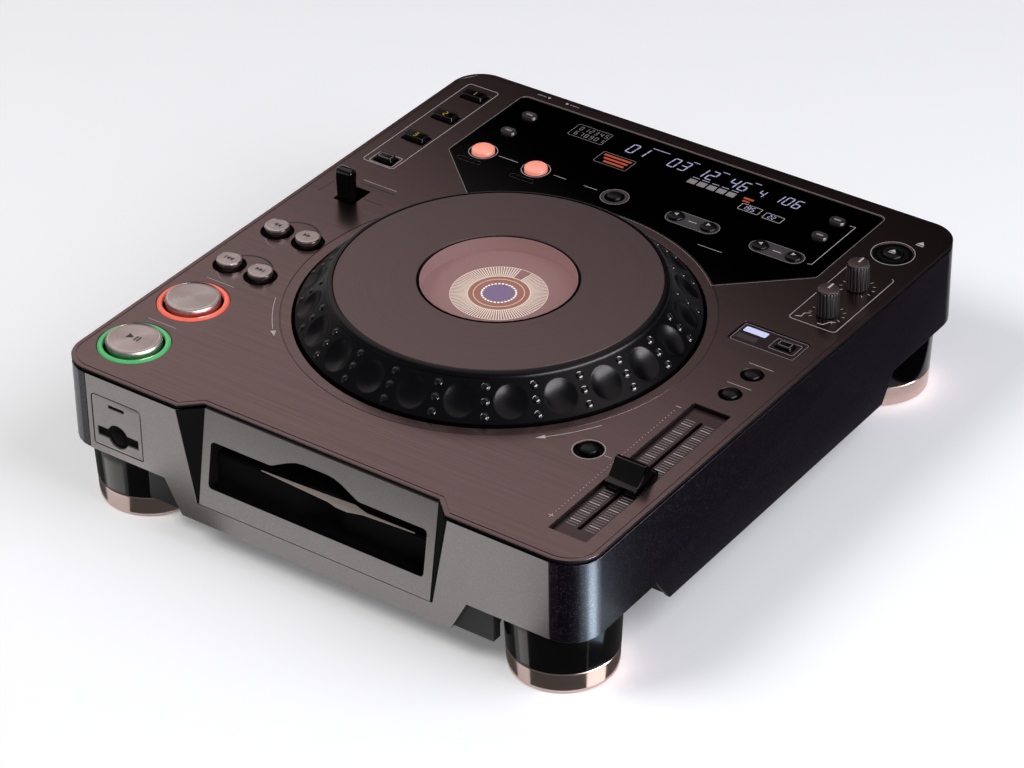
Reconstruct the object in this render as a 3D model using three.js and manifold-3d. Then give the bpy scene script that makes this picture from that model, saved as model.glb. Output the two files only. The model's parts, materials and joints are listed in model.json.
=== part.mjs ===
// Tabletop disc player for mixing music: a slot-loading deck with a large free-turning jog dial.
// Units are millimetres. +Z is up, +Y runs to the back, and the player stands on z = 0.
// The origin lies on the table under the middle of the whole player, rear sockets included.
import * as THREE from "three";
import { mergeVertices } from "three/addons/utils/BufferGeometryUtils.js";
import Module from "manifold-3d";

const wasm = await Module();
wasm.setup();

// Driving dimensions of the body
const bodyWidth = 320;
const bodyDepth = 360;
const deckHeight = 85.3; // top of the deck sheet above the table
const cornerRadius = 18;
const sheet = 1.5; // deck sheet
const wall = 3; // case wall
const thinWall = 1.5; // tray, pan and inner walls
const rearReach = 8; // how far the rear sockets stand out of the back

// Gaps between pieces
const clearance = 0.3; // between fixed pieces that meet
const running = 0.4; // round pieces that move
const overrun = 1; // how far a cutting shape runs past what it cuts

// Counts of flats round a circle
const fineFlats = 40;
const wideFlats = 18;
const smallFlats = 10;
const cornerFlats = 6;
const filletFlats = 2;

// Columns and half widths, as shares of the body's width from its middle
const acrossShares = {
  trayArm: 0.334375, panelHalf: 0.44375, bellyHalf: 0.260937, notchHalf: 0.225, slotHalf: 0.207813,
  bayLeft: -0.434375, bayRight: -0.332813, jogRadius: 0.326562, windowHalf: 0.365,
  leftColumn: -0.423438, searchMiddle: -0.413281, hotColumn: -0.435625, timeColumn: -0.315625,
  loopInColumn: -0.314375, loopOutColumn: -0.204687, exitColumn: -0.04375, waveColumn: 0.076563,
  callColumn: 0.24125, memoryColumn: 0.307188, ejectColumn: 0.432812, tempoColumn: 0.433437,
  resetColumn: 0.337188, modeLeft: 0.343125, modeRight: 0.464375, modeKeyColumn: 0.432812,
  knobColumn: 0.438438, leverColumn: -0.4125, sliderColumn: 0.434063, rearLeft: -0.35,
  rearRight: 0.45625, socketFirst: 0.09375, controlColumn: 0.303125, inletColumn: -0.15,
  powerColumn: -0.275, lockColumn: 0.4125,
};

// Rows and half depths, as shares of the body's depth from its middle
const alongShares = {
  trayWing: 0.272222, skirtFront: -0.286111, skirtBack: 0.275, jogRow: -0.054861,
  windowBack: 0.470833, windowSideFoot: 0.274167, playRow: -0.4125, cueRow: -0.281111,
  trackRow: -0.173333, searchRow: -0.061111, hotRow: 0.272222, hotPitch: 0.076389,
  recordRow: 0.194444, ejectRow: 0.391944, rangeRow: 0.008056, masterRow: -0.048889,
  resetRow: -0.268889, modeFront: 0.07, modeBack: 0.119444, modeKeyRow: 0.095833,
  brakeRow: 0.283333, startRow: 0.2, leverRow: 0.069444, bedFront: -0.445833, bedBack: -0.095,
  sliderMiddle: -0.270278,
};

// Heights, as shares of the deck's height above the table
const levelShares = {
  caseFloor: 0.433763, skirtFoot: 0.252052, trayFoot: 0.21102, bezelFoot: 0.345838,
  slotBottom: 0.474795, slotTop: 0.77374, archTop: 0.861665, guideTop: 0.674091, bayTop: 0.84408,
  rearBottom: 0.515826, rearTop: 0.867526,
};

// Sizes that keep their share of a larger one, measured from a starting place.
function scaled(shares, size, from = 0) {
  return Object.fromEntries(Object.entries(shares).map(([name, share]) => [name, from + share * size]));
}

const {
  trayArm, panelHalf, bellyHalf, notchHalf, slotHalf, bayLeft, bayRight, jogRadius, windowHalf,
  leftColumn, searchMiddle, hotColumn, timeColumn, loopInColumn, loopOutColumn, exitColumn,
  waveColumn, callColumn, memoryColumn, ejectColumn, tempoColumn, resetColumn, modeLeft,
  modeRight, modeKeyColumn, knobColumn, leverColumn, sliderColumn, rearLeft, rearRight,
  socketFirst, controlColumn, inletColumn, powerColumn, lockColumn,
} = scaled(acrossShares, bodyWidth);
const {
  trayWing, skirtFront, skirtBack, jogRow, windowBack, windowSideFoot, playRow, cueRow, trackRow,
  searchRow, hotRow, hotPitch, recordRow, ejectRow, rangeRow, masterRow, resetRow, modeFront,
  modeBack, modeKeyRow, brakeRow, startRow, leverRow, bedFront, bedBack, sliderMiddle,
} = scaled(alongShares, bodyDepth);
const {
  caseFloor, skirtFoot, trayFoot, bezelFoot, slotBottom, slotTop, archTop, guideTop, bayTop,
  rearBottom, rearTop,
} = scaled(levelShares, deckHeight);

// Levels
const shadowHeight = 1.5; // dark gap under the deck sheet
const shadowInset = 1.6;
const frameThickness = 4.5;
const deckBottom = deckHeight - sheet;
const frameTop = deckBottom - clearance;
const frameBottom = frameTop - frameThickness;
const caseTop = deckBottom - shadowHeight;
const ledge = frameBottom - clearance; // the inner frame sits on the walls here
const rim = shadowInset - clearance; // wall left outside the inner frame

// Feet
const footSideInset = 31.2; // middle of a foot inside the side of the body
const frontFootInset = 30.7;
const rearFootInset = 32.5;
const legTopRadius = 29.7;
const legRadius = 28.3;
const footRingHeight = 12;
const footRingRadius = 28.2;
const footRingFootRadius = 27.7;
const footRingWall = 2.5;
const soleRise = 0.5; // the rubber sole stands this far below the metal ring

// Chassis tray, plus-shaped so that it leaves the feet free
const legRecess = 1.5; // gap round each leg
const skirtRun = 11; // sloped ends of the deep part of a side wall

// Front panel
const bellySlope = 10;
const notchFlare = 10; // the deck notch widens by this much at the front edge
const notchDepth = 9.2; // how far the slot face leans back at the top
const bezelThickness = 3;
const cheek = 1; // thickness of the notch's side walls
const notchRadius = 0.8;

// Disc slot
const slotRadius = 2;
const archShift = -2;
const archHalf = 27;
const archCrown = 12; // half width of the arch's flat crown before rounding
const archFoot = 6; // fillet at each end of the arch
const archRound = 22;
const guideSetback = 10; // shelf front behind the body's front
const guideChamfer = 1.2;
const fingerRadius = 25;
const fingerDepth = 5;
const slotDepth = 33; // back of the slot behind the body's front

// Card bay and its door
const bayRadius = 2.5;
const bayFootRadius = 1.2; // smaller, so that the door's lower corners turn free
const bayFloor = 0.7;
const bayDepth = 9;
const doorThickness = 2.2;
const cardWidth = 24.6;
const cardGap = 2.6;
const cardReach = 8;
const gripWidth = 27;
const gripHeight = 4;
const gripDepth = 1.2;
const gripRise = 9; // middle of the grip above the bay's foot
const thumbRadius = 6.5;
const studRadius = 1.6;
const lampWidth = 10;
const lampHeight = 1.4;
const lampDrop = 5; // lamp slit below the bay's top

// Jog dial
const wellGap = 1.8; // between the dial and the deck
const wellBevelWidth = 5.7;
const wellBevelDrop = 0.8;
const panClearance = 0.7;
const panDepth = 9; // of the pan below the inner frame
const skirtRise = 1; // foot of the dial's slope above the deck
const jogRise = 19.7; // top of the dial above the deck
const crownRise = 2.8; // rounded edge between the slope and the top plate
const crownWidth = 3.7;
const slopeWidth = 16;
const postShare = 0.409569; // radius of the centre post as a share of the dial's
const jogPlateThickness = 2;
const jogPlateBevel = 0.5;
const jogWeb = 3.5;
const jogRimWall = 5;
const hubWall = 3;
const postRim = 1;
const windowThickness = 2;
const displayDrop = 9; // display below the window's top
const displayThickness = 1;
const postSeat = 1.8; // ledge that carries the window
const hubStep = 4; // shoulder of the post that the hub turns on
const hubStepWidth = 4;
const dimpleCount = 24;
const dimpleFirstShare = -0.413333; // where the first dimple lies, as a share of the pitch
const dimpleRadius = 8.9;
const dimpleBowl = 18; // radius of the sphere that hollows a dimple
const dimpleFlats = 10;
const dimpleRings = 2;

// Display window
const windowArcGap = 0.6; // outside the bevel of the dial's well
const windowArcStart = THREE.MathUtils.degToRad(47);
const windowRadius = 3;
const windowArcFlats = 18;

// Buttons
const flange = 1.6;
const flangeThickness = 1.2;
const capEdge = 0.6;
const playRadius = 14.5;
const playRise = 4.5;
const playEdge = 1.4;
const lampRingRadius = 18.8;
const lampRingWall = 3.4;
const lampRingRise = 0.7;
const lampRingEdge = 0.6;
const searchRadius = 6.8;
const searchRise = 4;
const searchWell = 8.6;
const hotWidth = 12.5;
const hotDepth = 7;
const hotRise = 2.6;
const hotWellMargin = 1.3;
const recordWidth = 10;
const recordDepth = 6;
const keyRadius = 1; // corner radius of the oblong keys
const ovalWidth = 9;
const ovalDepth = 6.4;
const ovalRadius = 3;
const ovalRise = 1.6;
const loopRadius = 6.4;
const loopRise = 3;
const exitRadius = 4.2;
const exitRise = 2;
const pairPitch = 20.5;
const searchPitch = 20.5;
const pairRadius = 4.4;
const pairRise = 2;
const ejectRadius = 5.3;
const ejectWell = 10.2;
const ejectCollar = 8.4;
const ejectCollarWall = 2.2;
const ejectRise = 1.4;
const collarDrop = 0.4;
const tempoKeyRadius = 4.2;
const tempoKeyWell = 5.7;
const tempoKeyRise = 1.6;
const resetRadius = 4.4;
const resetWell = 7.1;
const resetRise = 1.8;

// Rows in the display window, as shares of its depth behind the dial
const displayShares = {
  timeRow: 0.770385, textRow: 0.505545, loopRow: 0.184605, pairRow: 0.204175, memoryRow: 0.767776,
  deleteRow: 0.531637,
};

// Jog mode panel
const modeDrop = 0.7;
const modeRadius = 1.5;
const modeKeyWidth = 9;
const modeKeyDepth = 6;
const modeKeyRise = 1.2;

// Knobs
const knobRadius = 6;
const knobHeight = 15.5;
const knobShaft = 3;
const knobFlutes = 18;
const knobFluteShare = 0.07; // depth of a flute as a share of the knob's radius
const knobCapDrop = 0.8;

// Direction lever
const leverWidth = 11;
const leverDepth = 6;
const leverHeight = 19;
const leverPivotDrop = 16;
const leverNeck = 4.4;
const leverEye = 3.6;
const leverSlotMargin = 0.8;
const leverSlotAhead = 3.6; // slot in front of the lever's middle
const leverSlotBehind = 13;
const earWidth = 2.5;

// Tempo slider
const bedHalf = 10.7;
const bedDrop = 2.65;
const bedThickness = 1.5;
const bedSlot = 2.2;
const bedEndMargin = 13.15; // bed beyond each end of the travel
const sliderRest = -8.7; // the photographed place, from the middle
const sliderStem = 1.4;
const sliderStemHalf = 4;
const sliderWidth = 17.5;
const sliderHalf = 10.5;
const sliderRise = 11; // ridge above the deck
const sliderRidge = 1.4;
const sliderLip = 2.2;
const sliderSag = 1.9;
const sliderCurve = 5;

// Rear
const rearRadius = 2;
const rearSetback = 1;
const rearThickness = 2.5;
const rearMiddle = (rearBottom + rearTop) / 2;
const socketPitch = 20;
const socketCount = 3;
const socketRadius = 4.2;
const socketBore = 1.6;
const socketNut = 6;
const socketNutHeight = 2;
const controlBore = 1.8;
const controlRadius = 3.6;
const controlReach = 2;
const inletWidth = 26;
const inletHeight = 17;
const inletDepth = 18;
const inletWall = 2.2;
const inletRecess = 12;
const inletReach = 1.2;
const inletRadius = 4;
const pinRadius = 1.2;
const pinPitch = 8;
const powerWidth = 14;
const powerHeight = 9;
const powerReach = 3.5;
const powerDepth = 12;
const lockWidth = 4.5;
const lockHeight = 5;
const lockReach = 1.6;
const lockTravel = 5;
const lockDepth = 5;

// Places that follow from the sizes above
const front = -bodyDepth / 2;
const back = bodyDepth / 2;
const side = bodyWidth / 2;
const footSpread = side - footSideInset;
const frontFootRow = front + frontFootInset;
const rearFootRow = back - rearFootInset;
const bayBottom = caseFloor + wall + clearance + bayFloor;
const gripRow = bayBottom + gripRise;
const lampRow = bayTop - lampDrop;
const wellRadius = jogRadius + wellGap;
const wellBevelRadius = wellRadius + wellBevelWidth;
const skirtTop = deckHeight + skirtRise;
const jogHeight = deckHeight + jogRise;
const shoulderHeight = jogHeight - crownRise;
const shoulderRadius = jogRadius - slopeWidth;
const jogPlateRadius = shoulderRadius - crownWidth;
const postRadius = jogRadius * postShare;
const windowArcRadius = wellBevelRadius + windowArcGap;
const windowFront = jogRow + windowArcRadius;
const windowDepth = windowBack - windowFront;
const { timeRow, textRow, loopRow, pairRow, memoryRow, deleteRow } = scaled(
  displayShares, windowDepth, windowFront,
);
const searchLeft = searchMiddle - searchPitch / 2;
const searchRight = searchMiddle + searchPitch / 2;
const leverSlotFront = leverRow - leverSlotAhead;
const leverSlotBack = leverRow + leverSlotBehind;
const sliderTravel = bedBack - bedFront - 2 * bedEndMargin;

// Outlines

const halfTurn = Math.PI;
const fullTurn = 2 * Math.PI;

// Points along a round stretch, both ends included.
function arc(x, y, radius, from, to, flats) {
  return Array.from({ length: flats + 1 }, (_, i) => {
    const angle = from + ((to - from) * i) / flats;
    return new THREE.Vector2(x + radius * Math.cos(angle), y + radius * Math.sin(angle));
  });
}

function circle(x, y, radius, flats = smallFlats) {
  return arc(x, y, radius, 0, fullTurn, flats).slice(0, -1);
}

// A closed outline through corners written [x, y, radius]; a corner with no radius stays sharp.
function rounded(corners, flats = filletFlats) {
  return corners.flatMap(([x, y, radius = 0], i) => {
    const corner = new THREE.Vector2(x, y);
    if (radius === 0) return [corner];
    const [beforeX, beforeY] = corners.at(i - 1);
    const [afterX, afterY] = corners[(i + 1) % corners.length];
    const before = new THREE.Vector2(beforeX, beforeY).sub(corner).normalize();
    const after = new THREE.Vector2(afterX, afterY).sub(corner).normalize();
    const half = Math.acos(before.dot(after)) / 2;
    const reach = radius / Math.tan(half);
    const start = before.clone().multiplyScalar(reach).add(corner);
    const end = after.clone().multiplyScalar(reach).add(corner);
    const inward = before.clone().add(after).normalize();
    const centre = inward.multiplyScalar(radius / Math.sin(half)).add(corner);
    const from = Math.atan2(start.y - centre.y, start.x - centre.x);
    let sweep = Math.atan2(end.y - centre.y, end.x - centre.x) - from;
    if (sweep > halfTurn) sweep -= fullTurn;
    if (sweep < -halfTurn) sweep += fullTurn;
    return arc(centre.x, centre.y, radius, from, from + sweep, flats);
  });
}

function oblong(left, right, near, far, radius = 0, flats = filletFlats) {
  const corners = [[left, near], [right, near], [right, far], [left, far]];
  return rounded(corners.map(([x, y]) => [x, y, radius]), flats);
}

function oblongAt(x, y, width, depth, radius = 0) {
  return oblong(x - width / 2, x + width / 2, y - depth / 2, y + depth / 2, radius);
}

// An oblong's seat, with the clearance all round.
function grownOblong(left, right, near, far, radius = 0) {
  return oblong(left - clearance, right + clearance, near - clearance, far + clearance, radius);
}

// Solids

// An outline in the XY plane, drawn up from one level to another.
function slab(outline, bottom, top, holes = []) {
  const shape = new THREE.Shape(outline);
  shape.holes = holes.map((hole) => new THREE.Path(hole));
  const options = { depth: top - bottom, bevelEnabled: false };
  return new THREE.ExtrudeGeometry(shape, options).translate(0, 0, bottom);
}

// An outline in the XZ plane, seen from the front, drawn from front to back.
function upright(outline, near, far, holes = []) {
  return slab(outline, 0, far - near, holes).rotateX(halfTurn / 2).translate(0, far, 0);
}

// An outline in the YZ plane, seen from the right, drawn from left to right.
function sideways(outline, left, right) {
  const stood = slab(outline, 0, right - left).rotateX(halfTurn / 2).rotateZ(halfTurn / 2);
  return stood.translate(left, 0, 0);
}

// A profile of [radius, height] pairs turned about Z; it runs anticlockwise, outside going up.
function turned(profile, flats = smallFlats) {
  const points = profile.map(([radius, height]) => new THREE.Vector2(radius, height));
  return new THREE.LatheGeometry(points, flats).rotateX(halfTurn / 2);
}

function turnedRing(profile, flats) {
  return turned([...profile, profile[0]], flats);
}

function drum(radius, bottom, top, flats) {
  return turned([[0, bottom], [radius, bottom], [radius, top], [0, top]], flats);
}

function toSolid(geometry) {
  const plain = geometry.index ? geometry.toNonIndexed() : geometry;
  const bare = new THREE.BufferGeometry();
  bare.setAttribute("position", plain.getAttribute("position"));
  const merged = mergeVertices(bare);
  const vertProperties = merged.attributes.position.array;
  const triVerts = new Uint32Array(merged.index.array);
  return new wasm.Manifold(new wasm.Mesh({ numProp: 3, vertProperties, triVerts }));
}

function toGeometry(body) {
  const { numProp, vertProperties, triVerts } = body.getMesh();
  const geometry = new THREE.BufferGeometry();
  geometry.setAttribute("position", new THREE.BufferAttribute(vertProperties, numProp));
  geometry.setIndex(new THREE.BufferAttribute(triVerts, 1));
  const flat = geometry.toNonIndexed();
  flat.computeVertexNormals();
  return flat;
}

function cut(base, ...tools) {
  return toGeometry(tools.reduce((body, tool) => body.subtract(toSolid(tool)), toSolid(base)));
}

function join(base, ...others) {
  return toGeometry(others.reduce((body, other) => body.add(toSolid(other)), toSolid(base)));
}

// Scene

const player = new THREE.Group();
const chassis = new THREE.Group();
chassis.position.y = -rearReach / 2;
player.add(chassis);
const deck = new THREE.Group();
deck.position.z = deckHeight;
chassis.add(deck);
const jog = new THREE.Group();
jog.position.y = jogRow;
chassis.add(jog);

function piece(parent, name, geometry, color, roughness, metalness, x = 0, y = 0, z = 0) {
  const mesh = new THREE.Mesh(geometry, new THREE.MeshStandardMaterial({ color, roughness, metalness }));
  mesh.name = name;
  mesh.position.set(x, y, z);
  parent.add(mesh);
}

// Body

const footPlaces = [
  ["front_left", -footSpread, frontFootRow],
  ["front_right", footSpread, frontFootRow],
  ["rear_left", -footSpread, rearFootRow],
  ["rear_right", footSpread, rearFootRow],
];

function bodyOutline(inset) {
  const radius = cornerRadius - inset;
  return oblong(inset - side, side - inset, front + inset, back - inset, radius, cornerFlats);
}

function legWells(grow, bottom, top) {
  return footPlaces.map(([, x, y]) => {
    return drum(legTopRadius + grow, bottom, top, wideFlats).translate(x, y, 0);
  });
}

// The plus-shaped space between the feet, from one level to another.
function betweenFeet(inset, bottom, top) {
  const arm = trayArm - inset;
  const wing = trayWing - inset;
  const sideReach = side - wall - clearance - inset;
  const endReach = back - wall - clearance - inset;
  const plus = [
    [-arm, -endReach], [arm, -endReach], [arm, -wing], [sideReach, -wing],
    [sideReach, wing], [arm, wing], [arm, endReach], [-arm, endReach],
    [-arm, wing], [-sideReach, wing], [-sideReach, -wing], [-arm, -wing],
  ];
  const wells = legWells(legRecess + inset, bottom - overrun, top + overrun);
  return cut(slab(rounded(plus), bottom, top), ...wells);
}

function mainCase() {
  const skirt = [
    [skirtFront - skirtRun, caseFloor + overrun], [skirtFront - skirtRun, caseFloor],
    [skirtFront, skirtFoot], [skirtBack, skirtFoot],
    [skirtBack + skirtRun, caseFloor], [skirtBack + skirtRun, caseFloor + overrun],
  ];
  const shell = join(slab(bodyOutline(0), caseFloor, caseTop), sideways(rounded(skirt), -side, side));
  const skirtEnds = [skirtFront - skirtRun - overrun, skirtBack + skirtRun + overrun];
  const betweenSkirts = oblong(wall - side, side - wall, ...skirtEnds);
  const panelSpan = oblong(-panelHalf, panelHalf, front - overrun, front + wall);
  const rearWindow = oblong(rearLeft, rearRight, rearBottom, rearTop, rearRadius);
  return cut(
    shell,
    slab(betweenSkirts, skirtFoot - overrun, caseFloor),
    betweenFeet(-clearance, caseFloor - overrun, caseFloor + wall + overrun),
    slab(bodyOutline(wall), caseFloor + wall, caseTop + overrun),
    slab(bodyOutline(rim), ledge, caseTop + overrun),
    slab(panelSpan, caseFloor - overrun, caseTop + overrun),
    upright(rearWindow, back - wall - overrun, back + overrun),
  );
}

function chassisTray() {
  const top = caseFloor + wall;
  const half = notchHalf + cheek + clearance;
  const slotRoom = oblong(-half, half, front, front + slotDepth + clearance);
  return cut(
    betweenFeet(0, trayFoot, top),
    betweenFeet(thinWall, trayFoot + thinWall, top + overrun),
    slab(slotRoom, bezelFoot - clearance, top + overrun),
  );
}

function leg() {
  const core = footRingRadius - footRingWall - clearance;
  const coreFoot = footRingFootRadius - footRingWall - clearance;
  const profile = [
    [0, 0], [coreFoot, 0], [core, footRingHeight + clearance], [legRadius, footRingHeight + clearance],
    [legTopRadius, caseFloor - clearance], [0, caseFloor - clearance],
  ];
  return turned(profile, wideFlats);
}

function footRing() {
  const profile = [
    [footRingFootRadius - footRingWall, soleRise], [footRingFootRadius, soleRise],
    [footRingRadius, footRingHeight], [footRingRadius - footRingWall, footRingHeight],
  ];
  return turnedRing(profile, wideFlats);
}

piece(chassis, "main_case", mainCase(), "#1c1820", 0.45, 0.3);
piece(chassis, "chassis_tray", chassisTray(), "#1d191f", 0.5, 0.6);
for (const [place, x, y] of footPlaces) {
  piece(chassis, "leg_" + place, leg(), "#0b0a0c", 0.2, 0, x, y);
  piece(chassis, "foot_ring_" + place, footRing(), "#a78f86", 0.15, 1, x, y);
}

// Front

// The slot face leans back: its front surface at a height, and a point behind it.
const lean = notchDepth / (caseTop - bezelFoot);
const faceAt = (height) => front + (height - bezelFoot) * lean;
const bezelDeep = bezelThickness * Math.hypot(1, lean);

function leaningPlate(bottom, top, near, far) {
  return [
    [faceAt(bottom) + near, bottom], [faceAt(bottom) + far, bottom],
    [faceAt(top) + far, top], [faceAt(top) + near, top],
  ];
}

function slotOutline() {
  return rounded([
    [-slotHalf, slotBottom, slotRadius], [slotHalf, slotBottom, slotRadius], [slotHalf, slotTop, slotRadius],
    [archShift + archHalf, slotTop, archFoot], [archShift + archCrown, archTop, archRound],
    [archShift - archCrown, archTop, archRound], [archShift - archHalf, slotTop, archFoot],
    [-slotHalf, slotTop, slotRadius],
  ]);
}

function slotBezel() {
  const half = notchHalf - clearance;
  const plate = sideways(rounded(leaningPlate(bezelFoot, caseTop, 0, bezelDeep)), -half, half);
  return cut(plate, upright(slotOutline(), front - overrun, front + slotDepth));
}

// The black moulding behind the slot face: side walls of the notch, slot tunnel and disc shelf.
function slotHousing() {
  const half = notchHalf + cheek;
  const near = bezelDeep + clearance;
  const tunnelHalf = slotHalf + thinWall;
  const tunnelBottom = slotBottom - thinWall;
  const tunnelBack = front + slotDepth;
  const shelfFront = front + guideSetback;
  const backing = sideways(rounded(leaningPlate(bezelFoot, ledge, near, near + thinWall)), -half, half);
  const tunnel = rounded([
    [faceAt(tunnelBottom) + near, tunnelBottom], [tunnelBack, tunnelBottom],
    [tunnelBack, ledge], [faceAt(ledge) + near, ledge],
  ]);
  const cheekSide = rounded([
    [front, bezelFoot], [faceAt(bezelFoot) + near + thinWall, bezelFoot],
    [faceAt(ledge) + near + thinWall, ledge], [faceAt(ledge) + bezelDeep, ledge],
    [faceAt(caseTop) + bezelDeep, caseTop], [front, caseTop],
  ]);
  const hollow = rounded([
    [front - overrun, slotBottom], [shelfFront, slotBottom], [shelfFront, guideTop - guideChamfer],
    [shelfFront + guideChamfer, guideTop], [tunnelBack - thinWall, guideTop],
    [tunnelBack - thinWall, archTop], [front - overrun, archTop],
  ]);
  const finger = drum(fingerRadius, slotBottom, guideTop + overrun, wideFlats);
  finger.translate(0, shelfFront + fingerDepth - fingerRadius, 0);
  const solid = join(
    backing,
    sideways(tunnel, -tunnelHalf, tunnelHalf),
    sideways(cheekSide, -half, -notchHalf),
    sideways(cheekSide, notchHalf, half),
  );
  return cut(solid, sideways(hollow, -slotHalf, slotHalf), finger);
}

// The card bay's opening, or the door in it: the inset is what the corners' radii lose.
function bayOutline(left, right, bottom, top, inset) {
  const foot = bayFootRadius - inset;
  const head = bayRadius - inset;
  return rounded([[left, bottom, foot], [right, bottom, foot], [right, top, head], [left, top, head]]);
}

function frontPanel() {
  const half = panelHalf - clearance;
  const notch = notchHalf + cheek + clearance;
  const belly = bellyHalf + bellySlope;
  const outline = rounded([
    [-half, caseFloor], [-belly, caseFloor], [-bellyHalf, trayFoot], [bellyHalf, trayFoot],
    [belly, caseFloor], [half, caseFloor], [half, caseTop], [notch, caseTop],
    [notch, bezelFoot - clearance, notchRadius], [-notch, bezelFoot - clearance, notchRadius],
    [-notch, caseTop], [-half, caseTop],
  ]);
  const bay = bayOutline(bayLeft, bayRight, bayBottom, bayTop, 0);
  const bayFoot = caseFloor + wall + clearance; // the bay stands on the case floor
  const bayShell = oblong(bayLeft - thinWall, bayRight + thinWall, bayFoot, bayTop + thinWall);
  const card = oblongAt((bayLeft + bayRight) / 2, gripRow, cardWidth, cardGap);
  const bayEnd = front + wall + bayDepth;
  const bayBox = upright(bayShell, front + wall / 2, bayEnd + cardReach);
  const face = join(upright(outline, front, front + wall), bayBox);
  const rebate = oblong(-half - overrun, half + overrun, front + rim, front + wall + overrun);
  return cut(
    face,
    upright(bay, front - overrun, bayEnd),
    upright(card, bayEnd - overrun, bayEnd + cardReach + overrun),
    slab(rebate, ledge, caseTop + overrun),
  );
}

const doorLeft = bayLeft + running;
const doorRight = bayRight - running;
const doorHinge = bayBottom + running + doorThickness / 2;
const doorMiddle = (doorLeft + doorRight) / 2;

// The card bay's door, hinged along its round lower edge; z = 0 is the hinge line.
function cardDoor() {
  const knuckle = doorThickness / 2;
  const half = (doorRight - doorLeft) / 2;
  const top = bayTop - running - doorHinge;
  const edge = [
    ...arc(0, 0, knuckle, halfTurn, fullTurn, cornerFlats),
    new THREE.Vector2(knuckle, top), new THREE.Vector2(-knuckle, top),
  ];
  const leaf = sideways(edge, -half, half);
  const corner = oblong(-half - overrun, half + overrun, -knuckle - overrun, top + overrun);
  const kept = bayOutline(-half, half, -knuckle, top, running);
  const trim = upright(corner, -knuckle - overrun, knuckle + overrun, [kept]);
  const grip = oblongAt(0, gripRow - doorHinge, gripWidth, gripHeight, gripHeight / 4);
  const thumb = circle(0, gripRow - doorHinge, thumbRadius);
  const lamp = oblongAt(0, lampRow - doorHinge, lampWidth, lampHeight);
  const floor = gripDepth - knuckle;
  const stud = drum(studRadius, -gripDepth / 2, gripDepth, smallFlats).rotateX(halfTurn / 2);
  stud.translate(0, floor, gripRow - doorHinge);
  const recessed = cut(
    leaf,
    trim,
    upright(grip, -knuckle - overrun, floor),
    upright(thumb, -knuckle - overrun, floor),
    upright(lamp, -knuckle - overrun, floor),
  );
  return join(recessed, stud);
}

piece(chassis, "front_panel", frontPanel(), "#86807c", 0.35, 0.6);
piece(chassis, "slot_bezel", slotBezel(), "#7b7471", 0.35, 0.6);
piece(chassis, "slot_housing", slotHousing(), "#0c090b", 0.4, 0);
const doorPlace = [doorMiddle, front + doorThickness / 2, doorHinge];
piece(chassis, "card_door", cardDoor(), "#7f7976", 0.35, 0.6, ...doorPlace);

// Deck

// The display window's outline, grown by an allowance all round.
function windowOutline(grow) {
  const half = windowHalf + grow;
  const radius = windowArcRadius - grow;
  const end = new THREE.Vector2(windowArcRadius, 0).rotateAround(new THREE.Vector2(), windowArcStart);
  const foot = new THREE.Vector2(windowHalf, windowSideFoot - jogRow);
  const slope = end.clone().sub(foot).normalize();
  const outward = new THREE.Vector2(-slope.y, slope.x).multiplyScalar(grow);
  const start = foot.clone().add(outward);
  const corner = start.clone().addScaledVector(slope, (half - start.x) / slope.x);
  const reach = -corner.dot(slope) - Math.sqrt(corner.dot(slope) ** 2 - corner.lengthSq() + radius ** 2);
  const meet = corner.clone().addScaledVector(slope, reach);
  const angle = Math.atan2(meet.y, meet.x);
  return [
    ...rounded([
      [-meet.x, meet.y + jogRow], [meet.x, meet.y + jogRow], [half, corner.y + jogRow, windowRadius],
      [half, windowBack + grow, windowRadius], [-half, windowBack + grow, windowRadius],
      [-half, corner.y + jogRow, windowRadius],
    ]).slice(2),
    ...arc(0, jogRow, radius, halfTurn - angle, angle, windowArcFlats),
  ];
}

function notchedOutline(inset, notchInset) {
  const radius = cornerRadius - inset;
  const near = front + inset;
  const notch = front + notchDepth + notchInset;
  const reach = (inset + notchInset) / 2;
  return rounded([
    [notchHalf + reach, notch], [notchHalf + notchFlare + reach, near], [side - inset, near, radius],
    [side - inset, back - inset, radius], [inset - side, back - inset, radius], [inset - side, near, radius],
    [-notchHalf - notchFlare - reach, near], [-notchHalf - reach, notch],
  ], cornerFlats);
}

// Every round control that comes up through the deck: name, place, radius, rise, edge and well radius.
const roundKeys = [
  ["play_button", leftColumn, playRow, playRadius, playRise, playEdge, lampRingRadius, wideFlats],
  ["cue_button", leftColumn, cueRow, playRadius, playRise, playEdge, lampRingRadius, wideFlats],
  ["track_back_button", searchLeft, trackRow, searchRadius, searchRise, capEdge, searchWell],
  ["track_next_button", searchRight, trackRow, searchRadius, searchRise, capEdge, searchWell],
  ["search_back_button", searchLeft, searchRow, searchRadius, searchRise, capEdge, searchWell],
  ["search_next_button", searchRight, searchRow, searchRadius, searchRise, capEdge, searchWell],
  ["eject_button", ejectColumn, ejectRow, ejectRadius, ejectRise, capEdge, ejectWell],
  ["tempo_range_button", tempoColumn, rangeRow, tempoKeyRadius, tempoKeyRise, capEdge, tempoKeyWell],
  ["master_tempo_button", tempoColumn, masterRow, tempoKeyRadius, tempoKeyRise, capEdge, tempoKeyWell],
  ["tempo_reset_button", resetColumn, resetRow, resetRadius, resetRise, capEdge, resetWell],
];
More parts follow.
